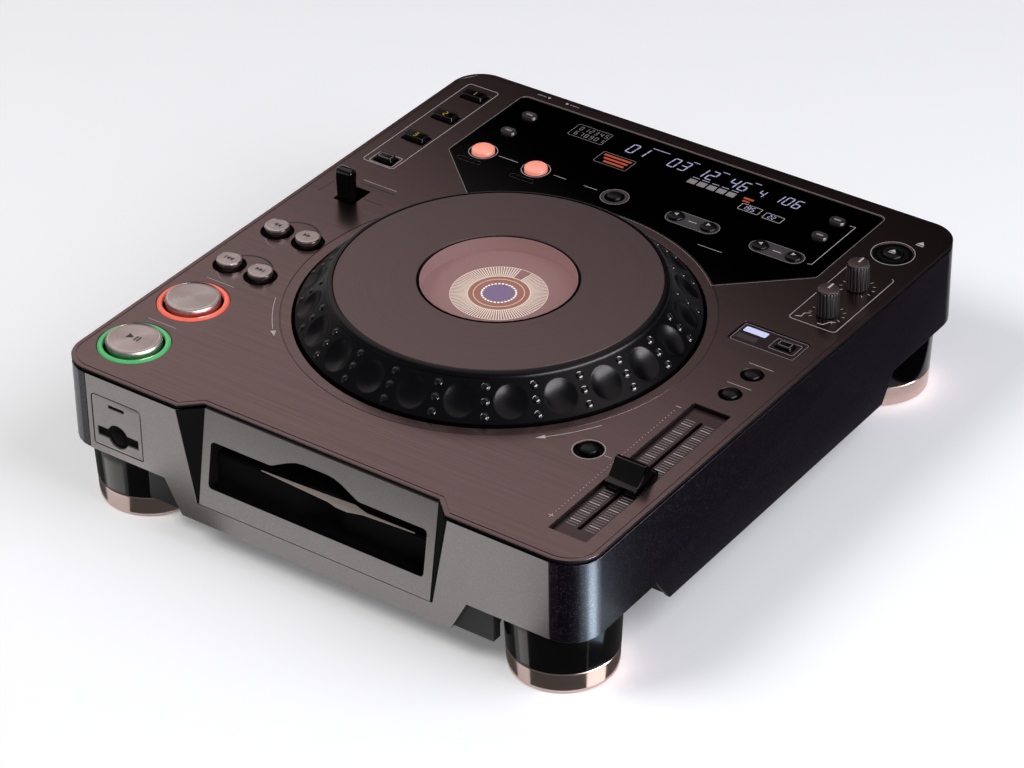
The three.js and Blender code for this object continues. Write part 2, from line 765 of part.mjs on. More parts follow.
const windowKeys = [
  ["loop_in_button", loopInColumn, loopRow, loopRadius, loopRise],
  ["loop_out_button", loopOutColumn, loopRow, loopRadius, loopRise],
  ["loop_exit_button", exitColumn, loopRow, exitRadius, exitRise],
  ["wave_back_button", waveColumn, pairRow, pairRadius, pairRise],
  ["wave_next_button", waveColumn + pairPitch, pairRow, pairRadius, pairRise],
  ["call_back_button", callColumn, pairRow, pairRadius, pairRise],
  ["call_next_button", callColumn + pairPitch, pairRow, pairRadius, pairRise],
];
const ovalKeys = [
  ["time_button", timeColumn, timeRow],
  ["text_button", timeColumn, textRow],
  ["memory_button", memoryColumn, memoryRow],
  ["delete_button", memoryColumn, deleteRow],
];
const hotKeys = [2, 1, 0].map((step, i) => {
  return ["hot_cue_" + (i + 1), hotColumn, hotRow + step * hotPitch, hotWidth, hotDepth];
});
const oblongKeys = [...hotKeys, ["record_button", hotColumn, recordRow, recordWidth, recordDepth]];
const knobs = [["brake_knob", brakeRow], ["start_knob", startRow]];
const leverSlot = [leverColumn - leverWidth / 2, leverColumn + leverWidth / 2];
const stemReach = sliderTravel / 2 + sliderStemHalf + running;

function roundHoles(keys, grow) {
  return keys.map(([, x, y, radius, , , , flats = smallFlats]) => circle(x, y, radius + grow, flats));
}

// A key's hole, with the running gap all round.
function keyHole(x, y, width, depth, radius = keyRadius) {
  return oblongAt(x, y, width + 2 * running, depth + 2 * running, radius);
}

const ovalHoles = () => ovalKeys.map(([, x, y]) => keyHole(x, y, ovalWidth, ovalDepth, ovalRadius));

// The controls' holes in the inner frame, which guides their stems.
function stemHoles() {
  return [
    ...roundHoles([...roundKeys, ...windowKeys], running),
    ...ovalHoles(),
    ...oblongKeys.map(([, x, y, width, depth]) => keyHole(x, y, width, depth)),
    ...knobs.map(([, y]) => circle(knobColumn, y, knobShaft + running)),
    keyHole(modeKeyColumn, modeKeyRow, modeKeyWidth, modeKeyDepth),
    oblong(leverSlot[0] - running, leverSlot[1] + running, leverSlotFront, leverSlotBack),
    oblongAt(sliderColumn, sliderMiddle, bedSlot, 2 * stemReach),
  ];
}

function deckPlate() {
  const holes = [
    circle(0, jogRow, wellRadius, fineFlats),
    windowOutline(clearance),
    ...roundKeys.map(([, x, y, , , , well, flats]) => circle(x, y, well + clearance, flats)),
    ...oblongKeys.map(([, x, y, width, depth]) => {
      return oblongAt(x, y, width + 2 * hotWellMargin, depth + 2 * hotWellMargin, keyRadius);
    }),
    ...knobs.map(([, y]) => circle(knobColumn, y, knobShaft + running)),
    grownOblong(modeLeft, modeRight, modeFront, modeBack, modeRadius),
    oblong(leverSlot[0] - leverSlotMargin, leverSlot[1] + leverSlotMargin, leverSlotFront, leverSlotBack),
    oblong(sliderColumn - bedHalf, sliderColumn + bedHalf, bedFront, bedBack),
  ];
  const plate = slab(notchedOutline(0, 0), deckBottom, deckHeight, holes);
  const bevel = turned([
    [0, deckHeight - wellBevelDrop], [wellRadius, deckHeight - wellBevelDrop],
    [wellBevelRadius, deckHeight], [wellBevelRadius, deckHeight + overrun], [0, deckHeight + overrun],
  ], fineFlats);
  return cut(plate, bevel.translate(0, jogRow, 0));
}

const bedTop = deckHeight - bedDrop;
const bedBottom = bedTop - bedThickness;
const panFloor = frameBottom - panDepth;
const panRadius = wellRadius + panClearance;
const postTop = jogHeight;
const windowSeat = postTop - windowThickness - clearance;
const displaySeat = postTop - displayDrop - displayThickness - clearance;
const windowPane = postRadius - postRim;

// The black inner frame: guide plate for the controls, pan of the jog dial and its centre post.
function deckFrame() {
  const flat = slab(notchedOutline(shadowInset, bezelDeep + clearance), frameBottom, frameTop, [
    circle(0, jogRow, panRadius + thinWall / 2, fineFlats),
    ...stemHoles(),
  ]);
  const seatRadius = windowPane - postSeat;
  const pan = turned([
    [0, panFloor - thinWall], [panRadius + thinWall, panFloor - thinWall],
    [panRadius + thinWall, frameTop], [panRadius, frameTop], [panRadius, panFloor],
    [postRadius + hubStepWidth, panFloor], [postRadius + hubStepWidth, panFloor + hubStep],
    [postRadius, panFloor + hubStep], [postRadius, postTop], [windowPane, postTop], [windowPane, windowSeat],
    [seatRadius, windowSeat], [seatRadius, displaySeat], [0, displaySeat],
  ], fineFlats);
  const bedPocket = grownOblong(sliderColumn - bedHalf, sliderColumn + bedHalf, bedFront, bedBack);
  const collar = turnedRing([
    [ejectCollar - ejectCollarWall, frameTop - overrun], [ejectCollar, frameTop - overrun],
    [ejectCollar, deckHeight - collarDrop], [ejectCollar - ejectCollarWall, deckHeight - collarDrop],
  ]);
  const ear = [
    ...arc(leverRow, -leverPivotDrop, leverEye, halfTurn, fullTurn, cornerFlats),
    new THREE.Vector2(leverRow + leverEye, frameBottom + overrun - deckHeight),
    new THREE.Vector2(leverRow - leverEye, frameBottom + overrun - deckHeight),
  ];
  const ears = [leverSlot[0] - running - earWidth, leverSlot[1] + running].map((left) => {
    return sideways(ear, left, left + earWidth).translate(0, 0, deckHeight);
  });
  const whole = join(
    flat, pan.translate(0, jogRow, 0), collar.translate(ejectColumn, ejectRow, 0), ...ears,
  );
  return cut(whole, slab(bedPocket, bedBottom - clearance, frameTop + overrun));
}

function displayWindow() {
  const holes = [...roundHoles(windowKeys, running), ...ovalHoles()];
  return slab(windowOutline(0), deckBottom, deckHeight, holes);
}

function modePanel() {
  const outline = oblong(modeLeft, modeRight, modeFront, modeBack, modeRadius);
  const hole = keyHole(modeKeyColumn, modeKeyRow, modeKeyWidth, modeKeyDepth);
  return slab(outline, deckBottom, deckHeight - modeDrop, [hole]);
}

function sliderBed() {
  const outline = oblong(sliderColumn - bedHalf, sliderColumn + bedHalf, bedFront, bedBack);
  return slab(outline, bedBottom, bedTop, [oblongAt(sliderColumn, sliderMiddle, bedSlot, 2 * stemReach)]);
}

function lampRing() {
  const inner = lampRingRadius - lampRingWall;
  return turnedRing([
    [inner, deckBottom - deckHeight], [lampRingRadius, deckBottom - deckHeight],
    [lampRingRadius, lampRingRise - lampRingEdge], [lampRingRadius - lampRingEdge, lampRingRise],
    [inner + lampRingEdge, lampRingRise], [inner, lampRingRise - lampRingEdge],
  ], wideFlats);
}

piece(chassis, "deck_plate", deckPlate(), "#5d4c4c", 0.35, 0.9);
piece(chassis, "deck_frame", deckFrame(), "#0d0b0d", 0.4, 0);
piece(chassis, "display_window", displayWindow(), "#0b070a", 0.08, 0);
piece(chassis, "mode_panel", modePanel(), "#141118", 0.15, 0);
piece(chassis, "slider_bed", sliderBed(), "#4a3e40", 0.4, 0.8);
piece(deck, "play_ring", lampRing(), "#4fae63", 0.3, 0, leftColumn, playRow);
piece(deck, "cue_ring", lampRing(), "#e5705f", 0.3, 0, leftColumn, cueRow);

// Buttons, with z = 0 at the deck's top. A flange under the inner frame holds each one in.

const flangeTop = frameBottom - clearance - deckHeight;
const flangeFoot = flangeTop - flangeThickness;

function roundKey(radius, rise, edge = capEdge, flats = smallFlats) {
  return turned([
    [0, flangeFoot], [radius + flange, flangeFoot], [radius + flange, flangeTop], [radius, flangeTop],
    [radius, rise - edge], [radius - edge, rise], [0, rise],
  ], flats);
}

function oblongKey(width, depth, rise, radius = keyRadius) {
  const foot = oblongAt(0, 0, width + 2 * flange, depth + 2 * flange, radius);
  const stem = oblongAt(0, 0, width, depth, radius);
  return join(slab(foot, flangeFoot, flangeTop), slab(stem, flangeFoot, rise));
}

const silver = ["#b0a2a0", 0.3, 1];
const black = ["#141114", 0.35, 0];
const lit = ["#ff9a86", 0.35, 0];
const silverKeys = ["play_button", "cue_button", "track_back_button", "track_next_button"].concat(
  ["search_back_button", "search_next_button"],
);
for (const [name, x, y, radius, rise, edge, , flats] of roundKeys) {
  const finish = silverKeys.includes(name) ? silver : black;
  piece(deck, name, roundKey(radius, rise, edge, flats), ...finish, x, y);
}
for (const [name, x, y, radius, rise] of windowKeys) {
  const finish = ["loop_in_button", "loop_out_button"].includes(name) ? lit : black;
  piece(deck, name, roundKey(radius, rise), ...finish, x, y);
}
for (const [name, x, y] of ovalKeys) {
  piece(deck, name, oblongKey(ovalWidth, ovalDepth, ovalRise, ovalRadius), "#4c4548", 0.3, 0.3, x, y);
}
for (const [name, x, y, width, depth] of oblongKeys) {
  piece(deck, name, oblongKey(width, depth, hotRise), "#241a1c", 0.3, 0, x, y);
}
const modeKey = oblongKey(modeKeyWidth, modeKeyDepth, modeKeyRise);
piece(deck, "jog_mode_button", modeKey, ...black, modeKeyColumn, modeKeyRow);

// Knobs

// A fluted knob on its shaft: each flute is a shallow dip between two flats.
function knob() {
  const flats = 2 * knobFlutes;
  const outline = circle(0, 0, knobRadius, flats).map((point, i) => {
    return i % 2 ? point.multiplyScalar(1 - knobFluteShare) : point;
  });
  const shaft = drum(knobShaft, flangeFoot, knobHeight / 2, smallFlats);
  const cap = drum(knobRadius * (1 - knobFluteShare), knobHeight / 2, knobHeight, smallFlats);
  return join(slab(outline, clearance, knobHeight - knobCapDrop), shaft, cap);
}

for (const [name, y] of knobs) piece(deck, name, knob(), "#191417", 0.4, 0, knobColumn, y);

// Direction lever, with z = 0 at its pivot

function directionLever() {
  const top = leverHeight + leverPivotDrop;
  const half = leverDepth / 2;
  const neck = leverNeck / 2;
  const blade = [
    ...arc(0, 0, leverEye, halfTurn + halfTurn / 6, fullTurn - halfTurn / 6, filletFlats * 3),
    ...rounded([
      [neck, leverPivotDrop], [half, top, half / 2], [-half, top, half / 2], [-neck, leverPivotDrop],
    ]),
  ];
  return sideways(blade, -leverWidth / 2, leverWidth / 2);
}

piece(deck, "direction_lever", directionLever(), "#0a090b", 0.3, 0, leverColumn, leverRow, -leverPivotDrop);

// Tempo slider, with y = 0 at its ridge and z = 0 at the deck's top

// The cap is a saddle: hollow slopes climb from two lips to a narrow ridge.
function sliderCap() {
  const foot = clearance - bedDrop;
  const slope = Array.from({ length: sliderCurve + 1 }, (_, i) => {
    const share = i / sliderCurve;
    const y = sliderHalf + (sliderRidge - sliderHalf) * share;
    const chord = sliderLip + (sliderRise - sliderLip) * share;
    return [y, chord - sliderSag * Math.sin(halfTurn * share)];
  });
  const mirrored = slope.map(([y, z]) => [-y, z]).reverse();
  const saddle = rounded([[-sliderHalf, foot], [sliderHalf, foot], ...slope, ...mirrored]);
  const stemOutline = oblongAt(0, 0, sliderStem, 2 * sliderStemHalf);
  const stem = slab(stemOutline, frameBottom - deckHeight, foot + overrun);
  return join(sideways(saddle, -sliderWidth / 2, sliderWidth / 2), stem);
}

piece(deck, "slider_cap", sliderCap(), "#0d0b0e", 0.25, 0, sliderColumn, sliderMiddle + sliderRest);

// Jog dial

const hubBore = postRadius + running;
const plateSeat = jogHeight - jogPlateThickness - clearance;
const hubFoot = panFloor + hubStep + clearance;
const slopeRun = jogRadius - shoulderRadius;
const slopeRise = shoulderHeight - skirtTop;
const slopeAngle = Math.atan2(slopeRise, slopeRun);

// A shape set on the middle of the dial's slope, facing out of it, at an angle round the dial.
function onSlope(geometry, angle) {
  const radius = (jogRadius + shoulderRadius) / 2;
  const height = (skirtTop + shoulderHeight) / 2;
  return geometry.rotateY(halfTurn / 2 - slopeAngle).translate(radius, 0, height).rotateZ(angle);
}

// A bowl whose rim lies on the slope, with z = 0 there and the hollow below.
function dimpleTool() {
  const centre = Math.sqrt(dimpleBowl ** 2 - dimpleRadius ** 2);
  const half = Math.asin(dimpleRadius / dimpleBowl);
  const bowl = Array.from({ length: dimpleRings + 1 }, (_, i) => {
    const angle = (half * i) / dimpleRings;
    return [dimpleBowl * Math.sin(angle), centre - dimpleBowl * Math.cos(angle)];
  });
  const lip = dimpleRadius + overrun * Math.tan(half);
  return turned([...bowl, [lip, overrun], [0, overrun]], dimpleFlats);
}

// The dial's rim and hub in one: the slope carries hollowed finger dimples with rows of studs between.
function jogRing() {
  const inward = jogRimWall / Math.sin(slopeAngle);
  const lipRadius = jogPlateRadius + clearance;
  const crown = Array.from({ length: filletFlats + 1 }, (_, i) => {
    const angle = (halfTurn / 2) * (i / filletFlats);
    const radius = lipRadius + (shoulderRadius - lipRadius) * Math.cos(angle);
    return [radius, shoulderHeight + crownRise * Math.sin(angle)];
  });
  const webUnder = plateSeat - jogWeb;
  const innerSkirt = jogRadius - inward;
  const innerTop = innerSkirt - (webUnder - skirtTop) / Math.tan(slopeAngle);
  const body = turnedRing([
    [innerSkirt, hubFoot], [jogRadius, hubFoot], [jogRadius, skirtTop], ...crown,
    [lipRadius, plateSeat], [hubBore, plateSeat], [hubBore, hubFoot], [hubBore + hubWall, hubFoot],
    [hubBore + hubWall, webUnder], [innerTop, webUnder], [innerSkirt, skirtTop],
  ], fineFlats);
  const pitch = fullTurn / dimpleCount;
  const dimples = Array.from({ length: dimpleCount }, (_, i) => {
    return onSlope(dimpleTool(), (i + dimpleFirstShare) * pitch);
  });
  return cut(body, ...dimples);
}

function jogPlate() {
  return turnedRing([
    [hubBore, jogHeight - jogPlateThickness], [jogPlateRadius, jogHeight - jogPlateThickness],
    [jogPlateRadius, jogHeight - jogPlateBevel], [jogPlateRadius - jogPlateBevel, jogHeight],
    [hubBore, jogHeight],
  ], fineFlats);
}

const pane = windowPane - clearance;
const displayPane = windowPane - postSeat - clearance;
piece(jog, "jog_ring", jogRing(), "#0c0a0c", 0.3, 0);
piece(jog, "jog_plate", jogPlate(), "#5b4d4e", 0.35, 0.9);
piece(jog, "jog_window", drum(pane, jogHeight - windowThickness, jogHeight, fineFlats), "#8d6e70", 0.05, 0);
const displayFoot = displaySeat + clearance;
const displayDisc = drum(displayPane, displayFoot, displayFoot + displayThickness, wideFlats);
piece(jog, "jog_display", displayDisc, "#cfc2b2", 0.4, 0);

// Rear, with y = 0 at the back face

const panelBack = -rearSetback;
const panelFront = panelBack - rearThickness;

// A turned piece laid along Y so that its top points to the back.
function backward(geometry, x, z) {
  return geometry.rotateX(-halfTurn / 2).translate(x, 0, z);
}

function rearPanel() {
  const levels = [rearBottom + clearance, rearTop - clearance];
  const outline = oblong(rearLeft + clearance, rearRight - clearance, ...levels, rearRadius);
  const inletSize = [inletWidth + 2 * clearance, inletHeight + 2 * clearance];
  const inlet = oblongAt(inletColumn, rearMiddle, ...inletSize, inletRadius);
  const power = keyHole(powerColumn, rearMiddle, powerWidth, powerHeight);
  const lock = oblong(
    lockColumn - lockWidth / 2 - running, lockColumn + lockWidth / 2 + lockTravel + running,
    rearMiddle - lockHeight / 2 - running, rearMiddle + lockHeight / 2 + running,
  );
  const nutTop = panelBack + socketNutHeight;
  const sockets = Array.from({ length: socketCount }, (_, i) => {
    const barrel = turned([
      [0, panelFront], [socketNut, panelFront], [socketNut, nutTop], [socketRadius, nutTop],
      [socketRadius, rearReach], [socketBore, rearReach], [socketBore, panelBack], [0, panelBack],
    ]);
    return backward(barrel, socketFirst + i * socketPitch, rearMiddle);
  });
  const control = turned([
    [0, panelFront], [controlRadius, panelFront], [controlRadius, controlReach], [controlBore, controlReach],
    [controlBore, panelFront + overrun], [0, panelFront + overrun],
  ]);
  const seats = Array.from({ length: socketCount }, (_, i) => {
    const seat = drum(socketNut / 2, panelFront - overrun, panelBack + overrun);
    return backward(seat, socketFirst + i * socketPitch, rearMiddle);
  });
  const controlHole = drum(controlRadius / 2, panelFront - overrun, panelBack + overrun);
  const controlSeat = backward(controlHole, controlColumn, rearMiddle);
  const board = cut(upright(outline, panelFront, panelBack, [inlet, power, lock]), ...seats, controlSeat);
  return join(board, ...sockets, backward(control, controlColumn, rearMiddle));
}

function mainsInlet() {
  const outer = oblongAt(0, 0, inletWidth, inletHeight, inletRadius);
  const innerSize = [inletWidth - 2 * inletWall, inletHeight - 2 * inletWall];
  const inner = oblongAt(0, 0, ...innerSize, inletRadius - inletWall);
  const recess = upright(inner, inletReach - inletRecess, inletReach + overrun);
  const shell = cut(upright(outer, -inletDepth, inletReach), recess);
  const pins = [-pinPitch / 2, pinPitch / 2].map((x) => {
    return backward(drum(pinRadius, -inletDepth + wall, inletReach - wall), x, 0);
  });
  return join(shell, ...pins);
}

function powerButton() {
  const button = oblongAt(0, 0, powerWidth, powerHeight, keyRadius);
  const head = upright(button, panelFront - clearance, powerReach);
  const foot = oblongAt(0, 0, powerWidth + 2 * flange, powerHeight + 2 * flange, keyRadius);
  return join(head, upright(foot, panelFront - powerDepth, panelFront - clearance));
}

function lockSwitch() {
  const head = upright(oblongAt(0, 0, lockWidth, lockHeight), panelFront - clearance, lockReach);
  const foot = oblongAt(0, 0, lockWidth + 2 * flange, lockHeight + 2 * flange);
  return join(head, upright(foot, panelFront - lockDepth, panelFront - clearance));
}

piece(chassis, "rear_panel", rearPanel(), "#121013", 0.45, 0.2, 0, back);
piece(chassis, "mains_inlet", mainsInlet(), "#0e0d0f", 0.5, 0, inletColumn, back, rearMiddle);
piece(chassis, "power_button", powerButton(), "#161417", 0.4, 0, powerColumn, back, rearMiddle);
piece(chassis, "lock_switch", lockSwitch(), "#161417", 0.4, 0, lockColumn, back, rearMiddle);

export default player;
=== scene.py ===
import json
import math

import bmesh
import bpy
import numpy as np
from bpy.props import FloatProperty, FloatVectorProperty, PointerProperty
from mathutils import Matrix, Vector
from mathutils.geometry import tessellate_polygon

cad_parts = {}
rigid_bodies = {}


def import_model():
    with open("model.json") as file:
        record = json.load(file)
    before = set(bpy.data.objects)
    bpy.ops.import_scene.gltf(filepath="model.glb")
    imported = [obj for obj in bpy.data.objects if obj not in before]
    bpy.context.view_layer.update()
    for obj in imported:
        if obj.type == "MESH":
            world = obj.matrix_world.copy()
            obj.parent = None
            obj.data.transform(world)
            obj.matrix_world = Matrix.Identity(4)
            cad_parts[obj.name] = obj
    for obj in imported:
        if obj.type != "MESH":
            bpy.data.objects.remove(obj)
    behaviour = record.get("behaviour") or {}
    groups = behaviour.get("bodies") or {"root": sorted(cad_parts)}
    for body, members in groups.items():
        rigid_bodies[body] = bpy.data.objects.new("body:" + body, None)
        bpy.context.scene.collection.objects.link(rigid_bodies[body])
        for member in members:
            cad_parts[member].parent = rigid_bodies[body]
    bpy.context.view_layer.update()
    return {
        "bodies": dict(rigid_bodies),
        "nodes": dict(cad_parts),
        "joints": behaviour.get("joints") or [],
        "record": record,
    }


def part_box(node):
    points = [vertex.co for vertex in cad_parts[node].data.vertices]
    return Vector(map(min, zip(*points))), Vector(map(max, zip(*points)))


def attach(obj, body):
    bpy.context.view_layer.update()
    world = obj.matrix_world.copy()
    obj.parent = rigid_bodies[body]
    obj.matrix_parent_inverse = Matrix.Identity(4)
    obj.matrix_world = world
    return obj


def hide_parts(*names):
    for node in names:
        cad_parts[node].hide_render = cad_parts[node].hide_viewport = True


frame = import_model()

bl_info = {
    "name": "Tabletop Disc Player",
    "version": (1, 0, 0),
    "blender": (4, 5, 0),
    "location": "View3D > Sidebar > Disc Player",
    "description": "Builds the looks of a tabletop disc player round its fixed frame",
    "category": "Object",
}

# Lengths are millimetres in the body's own frame: x to the right, y to the back from the body's
# middle, z up from the table. ORIGIN is the body's middle in the frame, in metres.
MM = 0.001
TURN = 2 * math.pi
CASE_LOW, CASE_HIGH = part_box("main_case")
ORIGIN = np.array([0, (CASE_LOW.y + CASE_HIGH.y) / 2, 0])


def box_corners(node):
    """The lowest and the highest corner of a node's box, in the body's millimetres."""
    return [(np.array(corner) - ORIGIN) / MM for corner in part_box(node)]


def spot(node):
    """Where a node's middle stands, and how high its top is, in the body's millimetres."""
    low, high = box_corners(node)
    return (low[0] + high[0]) / 2, (low[1] + high[1]) / 2, high[2]


DECK = spot("deck_plate")[2]
CASE_TOP = spot("main_case")[2]
JOG_X, JOG_Y, JOG_TOP = spot("jog_plate")
SIDE = (CASE_HIGH.x - CASE_LOW.x) / MM / 2
FRONT = -(CASE_HIGH.y - CASE_LOW.y) / MM / 2

# Outlines: rows of x and y


def arc(x, y, radius, start, end, flats=32):
    """Points on a circle from one angle to another, in degrees, both ends included."""
    angle = np.radians(np.linspace(start, end, flats + 1))
    return np.column_stack([x + radius * np.cos(angle), y + radius * np.sin(angle)])


def circle(x, y, radius, flats=64):
    """Points all round a circle, none of them twice."""
    return arc(x, y, radius, 0, 360, flats)[:-1]


def rounded(corners, flats=10):
    """A closed outline through [x, y, radius] corners, each turned by an arc that touches both edges."""
    rows = []
    spread = [(*corner, 0)[:3] for corner in corners]
    for i, (x, y, radius) in enumerate(spread):
        here = np.array([x, y], float)
        if not radius:
            rows.append(here[None])
            continue
        before = np.subtract(spread[i - 1][:2], here)
        after = np.subtract(spread[(i + 1) % len(spread)][:2], here)
        before, after = before / np.linalg.norm(before), after / np.linalg.norm(after)
        half = math.acos(before @ after) / 2
        inward = (before + after) / np.linalg.norm(before + after)
        middle = here + inward * radius / math.sin(half)
        ends = [here + way * radius / math.tan(half) - middle for way in (before, after)]
        start, end = (math.degrees(math.atan2(p[1], p[0])) for p in ends)
        end = start + (end - start + 180) % 360 - 180
        rows.append(arc(*middle, radius, start, end, flats))
    return np.vstack(rows)


def spoke(x, y, angle, *radii):
    """Points straight out from a middle at an angle in degrees, one at each radius."""
    way = (math.cos(math.radians(angle)), math.sin(math.radians(angle)))
    return np.outer(radii, way) + (x, y)


def oblong(x, y, width, depth, radius=0.0, flats=8):
    """A closed oblong round its middle, with the same radius at each corner."""
    near, far, left, right = y - depth / 2, y + depth / 2, x - width / 2, x + width / 2
    corners = [(left, near, radius), (right, near, radius), (right, far, radius), (left, far, radius)]
    return rounded(corners, flats)


def shifted(path, distance, closed=True):
    """A path moved to its left: each corner along the mean of its two edges' normals, so that both
    edges move by the distance."""
    edge = np.roll(path, -1, axis=0) - path
    if not closed:
        edge[-1] = edge[-2]
    normal = np.column_stack([-edge[:, 1], edge[:, 0]])
    normal /= np.linalg.norm(normal, axis=1, keepdims=True)
    before = np.roll(normal, 1, axis=0)
    if not closed:
        before[0] = normal[0]
    both = before + normal
    return path + distance * both * 2 / np.sum(both**2, axis=1, keepdims=True)


# Shells: points and blocks of faces


def grid(rows, columns, wrap_rows=False, wrap_columns=True):
    """Quads between the neighbours of a grid of points, whose last row or column may meet its first."""
    row, column = np.meshgrid(
        np.arange(rows if wrap_rows else rows - 1),
        np.arange(columns if wrap_columns else columns - 1),
        indexing="ij",
    )
    next_row, next_column = (row + 1) % rows, (column + 1) % columns
    corners = [(row, column), (row, next_column), (next_row, next_column), (next_row, column)]
    return np.stack([a * columns + b for a, b in corners], axis=-1).reshape(-1, 4)


def shell(points, *blocks):
    """A closed surface, turned face out by the sign of the volume that its faces hold."""
    points = np.asarray(points, float).reshape(-1, 3)
    volume = 0.0
    for block in blocks:
        for i in range(1, block.shape[1] - 1):
            a, b, c = (points[block[:, k]] for k in (0, i, i + 1))
            volume += np.sum(a * np.cross(b, c))
    return points, [block if volume > 0 else block[:, ::-1] for block in blocks]


def moved(body, x=0.0, y=0.0, z=0.0, turn=0.0, size=1.0):
    """A shell scaled, turned about Z by an angle in degrees, and moved."""
    points, blocks = body
    spin = np.array(Matrix.Rotation(math.radians(turn), 3, "Z"))
    return points * size @ spin.T + (x, y, z), blocks


def tipped(body, turn, x=0.0, y=0.0, z=0.0):
    """A shell tipped about X by an angle in degrees, and moved."""
    points, blocks = body
    spin = np.array(Matrix.Rotation(math.radians(turn), 3, "X"))
    return points @ spin.T + (x, y, z), blocks


def directions(count):
    """Unit vectors to evenly spaced angles round a circle: x = cos a and y = sin a."""
    angle = np.arange(count) * TURN / count
    return np.stack([np.cos(angle), np.sin(angle)], axis=-1)


def around(profile, ways):
    """Radius and height pairs carried round an upright axis: each radius times each direction."""
    height = np.repeat(profile[:, None, 1:], len(ways), axis=1)
    return np.concatenate([profile[:, None, :1] * ways, height], axis=-1)


def turned(profile, flats=72, x=0.0, y=0.0, z=0.0):
    """A profile of radius and height pairs turned round an upright axis. One that starts or ends on
    the axis closes there in one point, and any other meets its own start."""
    profile = np.asarray(profile, float)
    pole = profile[:, 0] == 0
    ring = profile[~pole]
    points = around(ring, directions(flats)).reshape(-1, 3)
    blocks = [grid(len(ring), flats, wrap_rows=not pole.any())]
    for end in (0, -1):
        if pole[end]:
            row = (len(ring) - 1) * flats * (end == -1) + np.arange(flats)
            fan = np.column_stack([np.full(flats, len(points)), row, np.roll(row, -1)])
            points = np.vstack([points, [[0, 0, profile[end, 1]]]])
            blocks.append(fan if end else fan[:, ::-1])
    return moved(shell(points, *blocks), x, y, z)


def lofted(rings):
    """A closed piece through rings that have equally many points, with a flat face at each end."""
    rows, size = rings.shape[:2]
    first = np.arange(size)
    return shell(rings, grid(rows, size), first[None, ::-1], first[None] + (rows - 1) * size)


def filled(points, loops, upward):
    """Triangles over the flat area between an outline and its holes."""
    index = np.concatenate(loops)
    flat = [[Vector(points[i]) for i in loop] for loop in loops]
    triangles = index[np.array(tessellate_polygon(flat))]
    a, b, c = (points[triangles[:, i], :2] for i in range(3))
    area = (b - a)[:, 0] * (c - a)[:, 1] - (b - a)[:, 1] * (c - a)[:, 0]
    wrong = (area > 0) != upward
    triangles[wrong] = triangles[wrong][:, ::-1]
    return triangles


def plate(outline, levels, holes=(), pits=()):
    """A flat piece. Each wall follows (offset, height) levels from the top down, where the offset
    moves the outline into the material. Holes go through, and pits end in a floor of their own."""
    points, blocks, tops, floors, count = [], [], [], [], 0
    walls = [(np.asarray(outline), levels, False)]
    walls += [(np.asarray(loop)[::-1], rows, False) for loop, rows in holes]
    walls += [(np.asarray(loop)[::-1], rows, True) for loop, rows in pits]
    for loop, rows, blind in walls:
        size = len(loop)
        points += [np.column_stack([shifted(loop, away), np.full(size, z)]) for away, z in rows]
        blocks.append(count + grid(len(rows), size)[:, ::-1])
        tops.append(count + np.arange(size))
        foot = count + (len(rows) - 1) * size + np.arange(size)
        floors.append(([foot], True)) if blind else floors.append(foot)
        count += size * len(rows)
    points = np.vstack(points)
    blocks.append(filled(points, tops, True))
    through = [foot for foot in floors if not isinstance(foot, tuple)]
    blocks.append(filled(points, through, False))
    blocks += [filled(points, *foot) for foot in floors if isinstance(foot, tuple)]
    return points, blocks


def carried(section, path, closed=True):
    """A closed section of (to the left, height) pairs carried along a flat path, square to it."""
    path = np.asarray(path, float)
    rows = [np.column_stack([shifted(path, left, closed), np.full(len(path), z)]) for left, z in section]
    blocks = [grid(len(section), len(path), wrap_rows=True, wrap_columns=closed)]
    if not closed:
        start = np.arange(len(section)) * len(path)
        blocks += [start[None], (start + len(path) - 1)[None, ::-1]]
        blocks[1:] = [block[:, ::-1] for block in blocks[1:]]
    return shell(np.vstack(rows), *blocks)


INK = 0.05  # how far a print stands out
SUNK = 0.02  # how far its back lies in the surface


def line(path, width, z, closed=False):
    """A printed line: a thin oblong section carried along a path."""
    half = width / 2
    section = [(-half, z - SUNK), (half, z - SUNK), (half, z + INK), (-half, z + INK)]
    return carried(section, path, closed)


def patch(outline, z, holes=(), rise=INK):
    """A printed area."""
    levels = [(0, z + rise), (0, z - SUNK)]
    return plate(outline, levels, [(hole, levels) for hole in holes])


# The seven bars of a numeral in a box one wide and two high, and the bars of each value.
BARS = [
    [(0, 2), (1, 2)], [(1, 2), (1, 1)], [(1, 1), (1, 0)], [(0, 0), (1, 0)],
    [(0, 1), (0, 0)], [(0, 2), (0, 1)], [(0, 1), (1, 1)],
]
NUMERALS = {
    "0": "012345", "1": "12", "2": "01346", "3": "01236", "4": "1256",
    "5": "02356", "6": "023456", "7": "012", "8": "0123456", "9": "012356",
}


NUMERAL_WIDTH, NUMERAL_PITCH = 0.45, 0.75  # shares of a numeral's height
BAR_GAP = 0.45  # share of its stroke by which each bar is shorter at each end


def numerals(text, x, y, height, z, stroke, slant=0.0):
    """Plain numerals built from straight bars, read from the front."""
    bodies = []
    for place, value in enumerate(text):
        for bar in NUMERALS[value]:
            ends = np.array(BARS[int(bar)], float) * (height * NUMERAL_WIDTH, height / 2)
            way = (ends[1] - ends[0]) / np.linalg.norm(ends[1] - ends[0])
            ends += np.outer((BAR_GAP, -BAR_GAP), way * stroke)
            ends[:, 0] += ends[:, 1] * slant + x + place * height * NUMERAL_PITCH
            ends[:, 1] += y - height / 2
            bodies.append(line(ends, stroke, z))
    return bodies


# Colours and nodes


